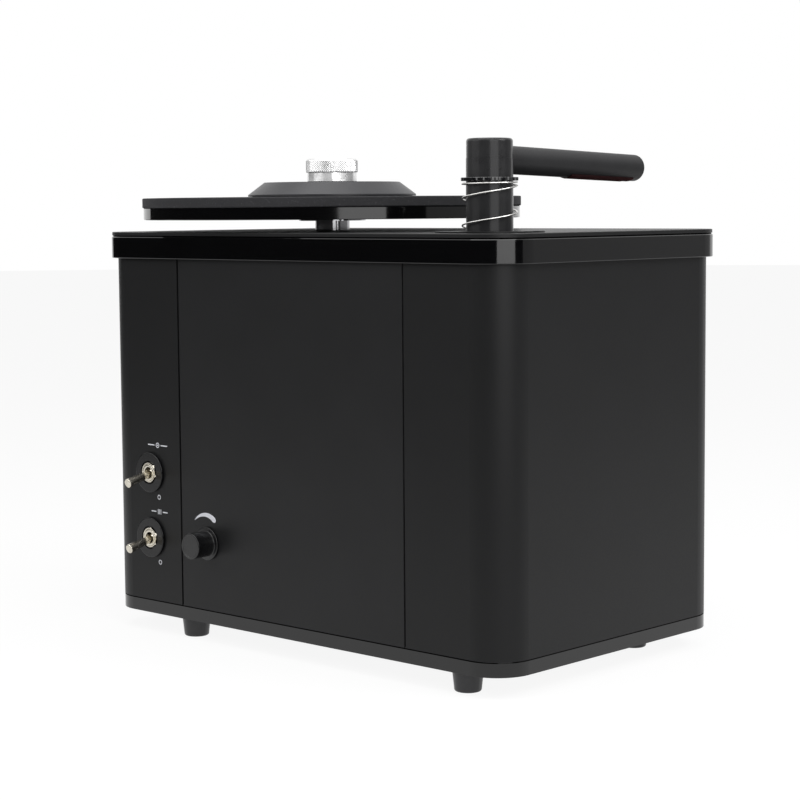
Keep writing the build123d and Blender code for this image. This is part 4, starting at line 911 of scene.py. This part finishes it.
class CLEANER_OT_switches(bpy.types.Operator):
    """Toggle switches: threaded necks, hexagon nuts, cases and bat levers"""

    bl_idname = "cleaner.switches"
    bl_label = "Toggle switches"

    def neck(self, bm, x, z, thread_end, wall_back):
        """Threaded neck with fine ridges, a rounded mouth and a dark bore."""
        thread, bore, depth = 6.0 * MM, 3.9 * MM, 11.0 * MM
        pitch, ridge = 0.7 * MM, 0.12 * MM
        length = wall_back - thread_end
        profile = [(0, -depth), (bore, -depth), (bore, -0.6 * MM)]
        profile += arc_points((bore + 0.6 * MM, -0.6 * MM), 0.6 * MM, 180, 90, 4)
        profile += arc_points((thread - 0.5 * MM, -0.5 * MM), 0.5 * MM, 90, 20, 3)
        ridges = 2
        for turn in range(ridges):
            top = -0.5 * MM - turn * pitch
            profile += [(thread, top - 0.15 * MM), (thread - ridge, top - pitch / 2)]
        profile += [(thread, -0.5 * MM - ridges * pitch), (thread, -length), (0, -length)]
        turned(bm, profile, 48, facing_front(x, z, thread_end))

    def case(self, bm, x, z, low_y, high_y):
        """Case with rounded edges behind the panel, and its three tags."""
        tag_length, tag_pitch = 8.0 * MM, 9.0 * MM
        body = rectangle(8.0 * MM, 14.5 * MM)
        depth = high_y - low_y - tag_length
        prism(bm, body, depth, facing_rear(x, z, low_y), bevel=0.8 * MM)
        for row in (-1, 0, 1):
            tag = rectangle(3.0 * MM, 0.4 * MM, up=tag_pitch * row)
            prism(bm, tag, tag_length, facing_rear(x, z, high_y - tag_length), bevel=0.2 * MM)

    def nut(self, bm, matrix, flats, bore, thickness):
        """Hexagon nut with its corners taken down on the outer face."""
        across = flats / 2 / cos(pi / 6)
        profile = [
            (bore, 0),
            (across, 0),
            (across, thickness - 0.9 * MM),
            (across - 1.0 * MM, thickness),
            (bore + 0.3 * MM, thickness),
            (bore, thickness - 0.3 * MM),
            (bore, 0),
        ]
        verts = turned(bm, profile, 48, Matrix.Identity(4))
        for vert in verts:
            angle = atan2(vert.co.y, vert.co.x)
            sector = (angle + pi / 6) % (pi / 3) - pi / 6
            limit = flats / 2 / cos(sector)
            if vert.co.xy.length > limit:
                vert.co.xy = vert.co.xy.normalized() * limit
        bmesh.ops.transform(bm, matrix=matrix, verts=verts)

    def lever(self, body, pivot, node, length):
        """Bat lever: thin at its pivot, thick and flat ended at its tip."""
        tilt = radians(14)
        direction = Vector((0, -cos(tilt), -sin(tilt)))
        turn = direction.to_track_quat("Z", "Y").to_matrix().to_4x4()
        tip, neck, ball, edge = 3.3 * MM, 2.5 * MM, 3.5 * MM, 0.7 * MM
        profile = arc_points((0, 0), ball, -90, 55, 10)
        profile += [
            (neck, ball + 0.6 * MM),
            (tip, length - 1.6 * edge),
            *arc_points((tip - edge, length - edge), edge, 10, 80, 5),
            (0.9 * MM, length),
            (0, length),
        ]
        bm = bmesh.new()
        turned(bm, profile, 40, Matrix.Translation(pivot) @ turn)
        add_piece(f"{node}_bat", bm, body, ["nickel"], sharp=40, replaces=[node])

    def execute(self, context):
        thread_end, case_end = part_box("switch_bodies")[0].y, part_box("switch_bodies")[1].y
        wall_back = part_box("front_panel")[1].y
        nut_thickness, thread_proud = 1.8 * MM, 0.3 * MM
        places = {
            "turntable": joint_at["turntable_switch_throw"],
            "vacuum": joint_at["vacuum_switch_throw"],
        }
        necks, cases, nuts = bmesh.new(), bmesh.new(), bmesh.new()
        for name, pivot in places.items():
            self.neck(necks, pivot.x, pivot.z, thread_end, wall_back)
            self.case(cases, pivot.x, pivot.z, wall_back, case_end)
            tilt = Matrix.Rotation(radians(12 if name == "turntable" else -8), 4, "Z")
            seat = facing_front(pivot.x, pivot.z, thread_end + thread_proud + nut_thickness)
            self.nut(nuts, seat @ tilt, 14.0 * MM, 6.05 * MM, nut_thickness)
            self.lever(f"{name}_switch", pivot, f"{name}_switch_lever", 25.0 * MM)
        knob = joint_at["level_knob_turn"]
        self.nut(nuts, facing_front(knob.x, knob.z), 12.0 * MM, 4.55 * MM, 2.0 * MM)
        drain = sum(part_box("drain_fitting"), Vector()) / 2
        inner_face = facing_rear(drain.x, drain.z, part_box("rear_panel")[0].y)
        self.nut(nuts, inner_face @ Matrix.Rotation(pi, 4, "X"), 20.0 * MM, 5.05 * MM, 4.0 * MM)
        for name, bm, finish, node, slot in (
            ("switch_necks", necks, "nickel", "switch_bodies", "nickel"),
            ("switch_cases", cases, "case", "switch_bodies", "switch_case"),
            ("hexagon_nuts", nuts, "nickel", "panel_nuts", "nickel"),
        ):
            add_piece(name, bm, "cabinet", [finish], replaces=[node])
        return {"FINISHED"}


class CLEANER_OT_level_knob(bpy.types.Operator):
    """Level knob with a rounded face edge and a flat skirt"""

    bl_idname = "cleaner.level_knob"
    bl_label = "Level knob"

    def execute(self, context):
        low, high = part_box("level_knob")
        centre = joint_at["level_knob_turn"]
        height = high.y - low.y
        skirt, root, face = (high.x - low.x) / 2, 8.9 * MM, 9.15 * MM
        shaft, recess = 3.05 * MM, 7.4 * MM
        edge, skirt_height = 0.55 * MM, 1.5 * MM
        profile = [
            (0, 11.0 * MM), (shaft, 11.0 * MM), (shaft, 5.1 * MM), (recess, 5.1 * MM), (recess, 0),
            (skirt - 0.3 * MM, 0),
            *arc_points((skirt - 0.45 * MM, skirt_height - 0.45 * MM), 0.45 * MM, 0, 90, 4),
            (root + 0.9 * MM, skirt_height),
            *arc_points((root + 0.7 * MM, skirt_height + 0.7 * MM), 0.7 * MM, 250, 190, 4),
            (face, height - edge - 1.2 * MM),
            *arc_points((face - edge, height - edge), edge, 0, 90, 6),
            (face - 1.3 * MM, height),
            (face - 1.5 * MM, height - 0.12 * MM),
            (0, height - 0.12 * MM),
        ]
        bm = bmesh.new()
        turned(bm, profile, 96, facing_front(centre.x, centre.z, high.y))
        add_piece(
            "level_knob_turned", bm, "level_control", ["knob"], sharp=25,
            replaces=["level_knob"],
        )
        return {"FINISHED"}


class CLEANER_OT_front_marks(bpy.types.Operator):
    """Printed marks: a growing crescent over the knob and plain signs at the switches"""

    bl_idname = "cleaner.front_marks"
    bl_label = "Front marks"

    def band(self, bm, place, centre, start, end, count, mid_radius, half_width):
        """A flat band along an arc; half_width gives its half width from 0 to 1 along it."""
        rows = []
        for i in range(count + 1):
            share = i / count
            angle = radians(start + (end - start) * share)
            wide = half_width(share)
            out = Vector((cos(angle), sin(angle), 0))
            middle = Vector((*centre, 0))
            rows.append([bm.verts.new(middle + out * (mid_radius(share) + s * wide)) for s in (-1, 1)])
        for (a, b), (c, d) in zip(rows, rows[1:]):
            bm.faces.new((a, b, d, c))
        bmesh.ops.transform(bm, matrix=place, verts=[v for row in rows for v in row])

    def bar(self, bm, place, x, y, width, height):
        verts = bmesh.ops.create_grid(bm, x_segments=1, y_segments=1, size=0.5)["verts"]
        bmesh.ops.scale(bm, vec=(width, height, 1), verts=verts)
        bmesh.ops.translate(bm, vec=(x, y, 0), verts=verts)
        bmesh.ops.transform(bm, matrix=place, verts=verts)

    def ring(self, bm, place, x, y, radius, thick, start=0, end=360):
        self.band(bm, place, (x, y), start, end, 40, lambda s: radius, lambda s: thick / 2)

    def turning_sign(self, bm, place):
        """Ring with a dot in it between two rules: what turns."""
        self.ring(bm, place, 0, 0, 1.6 * MM, 0.55 * MM)
        self.ring(bm, place, 0, 0, 0.3 * MM, 0.5 * MM)
        for side in (-1, 1):
            self.bar(bm, place, side * 7.0 * MM, 0, 7.0 * MM, 0.8 * MM)

    def suction_sign(self, bm, place):
        """Three upright rules between two level ones: what draws in."""
        for step in (-1, 0, 1):
            self.bar(bm, place, step * 1.5 * MM, 0, 0.6 * MM, 3.6 * MM)
        for side in (-1, 1):
            self.bar(bm, place, side * 6.2 * MM, 0, 5.2 * MM, 0.8 * MM)

    def execute(self, context):
        relief = sizes().mark_relief
        knob = joint_at["level_knob_turn"]
        bm = bmesh.new()
        at_knob = facing_front(knob.x, knob.z, front_y - relief)
        outer_radius, full_width = 15.9 * MM, 4.2 * MM
        rounded_from = 0.86

        def growing(share):
            return full_width / 2 * max(share, 0.01) ** 0.6

        def half_width(share):
            past = max(0, share - rounded_from) / (1 - rounded_from)
            return growing(share) * (1 - past * past) ** 0.5

        self.band(
            bm, at_knob, (-0.94 * MM, 5.75 * MM), 142, 47, 48,
            lambda s: outer_radius - growing(s), half_width,
        )
        shell_y = front_y - relief
        for name, sign, up, sideways in (
            ("turntable", self.turning_sign, 20.2 * MM, 8.2 * MM),
            ("vacuum", self.suction_sign, 19.4 * MM, 9.1 * MM),
        ):
            pivot = joint_at[f"{name}_switch_throw"]
            sign(bm, facing_front(pivot.x + sideways, pivot.z + up, shell_y))
            off = facing_front(pivot.x + 9.0 * MM, pivot.z - 17.4 * MM, shell_y)
            self.ring(bm, off, 0, 0, 1.45 * MM, 0.6 * MM)
        bmesh.ops.solidify(bm, geom=bm.faces[:], thickness=0.8 * relief)
        add_piece("front_marks", bm, "cabinet", ["ink"], sharp=30)
        return {"FINISHED"}


class CLEANER_OT_screws(bpy.types.Operator):
    """Screw heads with their sockets: cross recess in the inlet and the feet, hexagon in the base"""

    bl_idname = "cleaner.screws"
    bl_label = "Screws"

    def screw(self, bm, place, head, thread, length, socket, depth, shape, steps=48):
        """A turned head and thread whose top ring is drawn in to a socket and sunk."""
        rim = head[-1][0]
        top = head[-1][1]
        profile = [(0, -length), (thread, -length), (thread, head[0][1]), *head]
        verts = turned(bm, profile, steps, Matrix.Identity(4))
        loop = [e for e in bm.edges if e.is_boundary and e.verts[0] in set(verts)]
        drawn = bmesh.ops.extrude_edge_only(bm, edges=loop)["geom"]
        inner = [g for g in drawn if isinstance(g, bmesh.types.BMVert)]
        for vert in inner:
            angle = atan2(vert.co.y, vert.co.x)
            vert.co.xy = vert.co.xy.normalized() * min(shape(angle, socket), 0.94 * rim)
        loop = [g for g in drawn if isinstance(g, bmesh.types.BMEdge)]
        sunk = bmesh.ops.extrude_edge_only(bm, edges=loop)["geom"]
        floor = [g for g in sunk if isinstance(g, bmesh.types.BMVert)]
        for vert in floor:
            vert.co.z = top - depth
            vert.co.xy *= 0.85
        verts += inner + floor
        bmesh.ops.contextual_create(bm, geom=[g for g in sunk if isinstance(g, bmesh.types.BMEdge)])
        bmesh.ops.transform(bm, matrix=place, verts=verts)

    @staticmethod
    def cross(angle, radius):
        return radius * (0.34 + 0.66 * abs(cos(2 * angle)) ** 1.6)

    @staticmethod
    def hexagon(angle, radius):
        return radius * cos(pi / 6) / cos((angle % (pi / 3)) - pi / 6)

    def inlet_screws(self):
        low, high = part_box("inlet_screws")
        z = (low.z + high.z) / 2
        head, height = 2.8 * MM, 1.6 * MM
        bm = bmesh.new()
        dome = arc_points((0.9 * MM, -0.3 * MM), 1.95 * MM, 28, 70, 5)
        domed = [(head, 0), (head, 0.5 * MM), *dome]
        length = high.y - height - low.y
        for x in (low.x + head, high.x - head):
            place = facing_rear(x, z, high.y - height)
            self.screw(bm, place, domed, 1.5 * MM, length, 1.5 * MM, 0.9 * MM, self.cross)
        add_piece(
            "inlet_screws_cross", bm, "cabinet", ["blackened"],
            replaces=["inlet_screws"],
        )

    def foot_screws(self):
        low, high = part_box("foot_screws")
        head, height = 3.9 * MM, 2.6 * MM
        bm = bmesh.new()
        pan = [(head, 0), *arc_points((head - 0.9 * MM, height - 0.9 * MM), 0.9 * MM, 0, 80, 4)]
        length = high.z - low.z - height
        for x in (low.x + head, high.x - head):
            for y in (low.y + head, high.y - head):
                place = Matrix.Translation((x, y, low.z + height)) @ Matrix.Rotation(pi, 4, "X")
                self.screw(bm, place, pan, 2.0 * MM, length, 2.0 * MM, 1.4 * MM, self.cross)
        add_piece(
            "foot_screws_cross", bm, "cabinet", ["zinc"],
            replaces=["foot_screws"],
        )

    def joint_screws(self):
        low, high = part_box("machine_screws")
        head, thread, length = 4.8 * MM, 2.5 * MM, 16.0 * MM
        bm = bmesh.new()
        cone = [(thread, thread - head), (head - 0.1 * MM, -0.1 * MM), (head - 0.2 * MM, 0)]
        for x in (low.x + head, high.x - head):
            for y in (low.y + head, high.y - head):
                for place in (
                    Matrix.Translation((x, y, high.z)),
                    Matrix.Translation((x, y, low.z)) @ Matrix.Rotation(pi, 4, "X"),
                ):
                    self.screw(bm, place, cone, thread, length, 1.75 * MM, 2.0 * MM, self.hexagon)
        add_piece(
            "joint_screws_hexagon", bm, "cabinet", ["zinc"],
            replaces=["machine_screws"],
        )

    def execute(self, context):
        self.inlet_screws()
        self.foot_screws()
        self.joint_screws()
        return {"FINISHED"}


class CLEANER_OT_inlet_pins(bpy.types.Operator):
    """Plated blades inside the mains inlet"""

    bl_idname = "cleaner.inlet_pins"
    bl_label = "Inlet pins"

    def execute(self, context):
        low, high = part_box("mains_inlet")
        centre = (low + high) / 2
        floor, tip = high.y - 17.0 * MM, high.y - 2.0 * MM
        blade = rectangle(1.06 * MM, 2.06 * MM)
        bm = bmesh.new()
        for x, z in ((-7.0 * MM, -2.0 * MM), (7.0 * MM, -2.0 * MM), (0, 2.0 * MM)):
            place = facing_rear(centre.x + x, centre.z + z, floor + 0.02 * MM)
            prism(bm, blade, tip - floor, place, bevel=0.35 * MM)
        add_piece("inlet_pin_blades", bm, "cabinet", ["nickel"])
        return {"FINISHED"}


class CLEANER_OT_studio(bpy.types.Operator):
    """Pale floor, white surroundings, soft lamps, dark cards and the camera"""

    bl_idname = "cleaner.studio"
    bl_label = "Studio"

    def seen_directly(self, nodes, links):
        """1 for a ray from the camera, a reflection or a refraction, otherwise 0."""
        path = nodes.new("ShaderNodeLightPath")
        either = path.outputs["Is Camera Ray"]
        for kind in ("Is Glossy Ray", "Is Transmission Ray"):
            join = nodes.new("ShaderNodeMath")
            join.operation = "MAXIMUM"
            links.new(either, join.inputs[0])
            links.new(path.outputs[kind], join.inputs[1])
            either = join.outputs[0]
        return either

    def cleared(self, owner):
        """An emptied node tree of a material or a world."""
        owner.use_nodes = True
        owner.node_tree.nodes.clear()
        return owner.node_tree.nodes, owner.node_tree.links

    def floor_white(self):
        """A diffuse surface that shows mostly as an even brightness when seen directly."""
        material = bpy.data.materials.new("studio_floor_white")
        nodes, links = self.cleared(material)
        diffuse = nodes.new("ShaderNodeBsdfDiffuse")
        diffuse.inputs["Color"].default_value = (0.82, 0.82, 0.82, 1)
        glow = nodes.new("ShaderNodeEmission")
        glow.inputs["Strength"].default_value = 1.05
        share = nodes.new("ShaderNodeMath")
        share.operation = "MULTIPLY"
        share.inputs[1].default_value = 0.86
        links.new(self.seen_directly(nodes, links), share.inputs[0])
        mixer = nodes.new("ShaderNodeMixShader")
        links.new(share.outputs[0], mixer.inputs[0])
        links.new(diffuse.outputs[0], mixer.inputs[1])
        links.new(glow.outputs[0], mixer.inputs[2])
        out = nodes.new("ShaderNodeOutputMaterial")
        links.new(mixer.outputs[0], out.inputs["Surface"])
        return material

    def floor(self):
        bm = bmesh.new()
        bmesh.ops.create_circle(bm, cap_ends=True, segments=64, radius=9.0)
        bmesh.ops.translate(bm, vec=(0, 0, table_z), verts=bm.verts)
        mesh = bpy.data.meshes.new("studio_floor")
        bm.to_mesh(mesh)
        bm.free()
        mesh.materials.append(self.floor_white())
        floor = bpy.data.objects.new("studio_floor", mesh)
        bpy.context.scene.collection.objects.link(floor)

    def dark_card(self, name, start, end, bottom, top, radius, brightness):
        """A curved card that only glossy reflections see, from one azimuth to another."""
        bm = bmesh.new()
        first = radians(start)
        edge = [bm.verts.new((radius * sin(first), -radius * cos(first), z)) for z in (bottom, top)]
        joined = bm.edges.new(edge)
        bmesh.ops.spin(
            bm, geom=[*edge, joined], cent=(0, 0, 0), axis=(0, 0, 1),
            angle=radians(end - start), steps=24,
        )
        mesh = bpy.data.meshes.new(name)
        bm.to_mesh(mesh)
        bm.free()
        material = bpy.data.materials.new(name)
        nodes, links = self.cleared(material)
        glow = nodes.new("ShaderNodeEmission")
        glow.inputs["Strength"].default_value = brightness
        out = nodes.new("ShaderNodeOutputMaterial")
        links.new(glow.outputs[0], out.inputs["Surface"])
        mesh.materials.append(material)
        card = bpy.data.objects.new(name, mesh)
        card.visible_camera = False
        card.visible_diffuse = False
        card.visible_transmission = False
        card.visible_volume_scatter = False
        card.visible_shadow = False
        bpy.context.scene.collection.objects.link(card)

    def lamp(self, name, azimuth, distance, height, width, tall, power, aim_height=0.12):
        """A rectangular lamp round from the front, aimed at the upright through the origin."""
        data = bpy.data.lights.new(name, "AREA")
        data.shape = "RECTANGLE"
        data.size, data.size_y = width, tall
        data.energy = power
        lamp = bpy.data.objects.new(name, data)
        round_front = radians(azimuth)
        lamp.location = (distance * sin(round_front), -distance * cos(round_front), height)
        towards = Vector((0, 0, aim_height)) - lamp.location
        lamp.rotation_mode = "QUATERNION"
        lamp.rotation_quaternion = towards.to_track_quat("-Z", "Y")
        lamp.visible_camera = False
        bpy.context.scene.collection.objects.link(lamp)

    def surroundings(self):
        """White to a camera or a reflection, and a softer light to everything else."""
        world = bpy.data.worlds.new("studio_surroundings")
        bpy.context.scene.world = world
        nodes, links = self.cleared(world)
        level = nodes.new("ShaderNodeMapRange")
        level.inputs["To Min"].default_value = studio().room_light
        level.inputs["To Max"].default_value = 1.0
        links.new(self.seen_directly(nodes, links), level.inputs["Value"])
        back = nodes.new("ShaderNodeBackground")
        back.inputs["Color"].default_value = (1, 1, 1, 1)
        links.new(level.outputs["Result"], back.inputs["Strength"])
        out = nodes.new("ShaderNodeOutputWorld")
        links.new(back.outputs[0], out.inputs["Surface"])

    def camera(self):
        setting = studio()
        data = bpy.data.cameras.new("studio_camera")
        data.lens = setting.lens
        data.sensor_width = 36
        camera = bpy.data.objects.new("studio_camera", data)
        turn, tilt, roll = setting.camera_turn, setting.camera_tilt, setting.camera_roll
        ahead = Vector((-sin(turn) * cos(tilt), cos(turn) * cos(tilt), -sin(tilt)))
        level = Vector((cos(turn), sin(turn), 0))
        up = level.cross(ahead)
        right = cos(roll) * level + sin(roll) * up
        top = cos(roll) * up - sin(roll) * level
        camera.matrix_world = Matrix((right, top, -ahead)).transposed().to_4x4()
        camera.location = setting.camera_place
        bpy.context.scene.collection.objects.link(camera)
        bpy.context.scene.camera = camera

    def execute(self, context):
        setting = studio()
        context.scene.view_settings.view_transform = "Standard"
        self.floor()
        self.surroundings()
        self.dark_card("front_card", -93, 100, 0.0, 0.40, 1.25, setting.card_light)
        self.dark_card("side_card", 100, 165, 0.0, 0.9, 1.35, setting.side_card_light)
        self.lamp("right_softbox", 64, 1.15, 0.65, 0.75, 0.90, setting.softbox_power, 0.65)
        self.lamp("left_softbox", -28, 1.15, 0.80, 0.95, 0.50, setting.left_softbox_power, 0.80)
        self.lamp("side_softbox", 108, 1.2, 1.15, 0.8, 0.6, setting.side_power)
        self.lamp("overhead_softbox", 20, 0.25, 1.35, 1.1, 1.1, setting.overhead_power)
        self.camera()
        return {"FINISHED"}


class CLEANER_PT_panel(bpy.types.Panel):
    """Lists the machine's pieces and settings"""

    bl_idname = "CLEANER_PT_panel"
    bl_label = "Record cleaner"
    bl_space_type = "VIEW_3D"
    bl_region_type = "UI"
    bl_category = "Record cleaner"

    def draw(self, context):
        layout = self.layout
        for operator in OPERATORS:
            layout.operator(operator.bl_idname)
        for group in (colours(), sizes(), studio()):
            box = layout.box()
            for name in group.__annotations__:
                box.prop(group, name)


OPERATORS = (
    CLEANER_OT_finishes,
    CLEANER_OT_clamp_knob,
    CLEANER_OT_arm_spring,
    CLEANER_OT_post_collar,
    CLEANER_OT_velvet,
    CLEANER_OT_switches,
    CLEANER_OT_level_knob,
    CLEANER_OT_front_marks,
    CLEANER_OT_screws,
    CLEANER_OT_inlet_pins,
    CLEANER_OT_studio,
)
GROUPS = (MachineColours, MachineSizes, StudioSettings)


def register():
    for made in (*GROUPS, *OPERATORS, CLEANER_PT_panel):
        bpy.utils.register_class(made)
    bpy.types.Scene.machine_colours = PointerProperty(type=MachineColours)
    bpy.types.Scene.machine_sizes = PointerProperty(type=MachineSizes)
    bpy.types.Scene.machine_studio = PointerProperty(type=StudioSettings)


def unregister():
    del bpy.types.Scene.machine_studio
    del bpy.types.Scene.machine_sizes
    del bpy.types.Scene.machine_colours
    for made in reversed((*GROUPS, *OPERATORS, CLEANER_PT_panel)):
        bpy.utils.unregister_class(made)


def main():
    register()
    for operator in OPERATORS:
        group, name = operator.bl_idname.split(".")
        getattr(getattr(bpy.ops, group), name)()


if __name__ == "__main__":
    main()
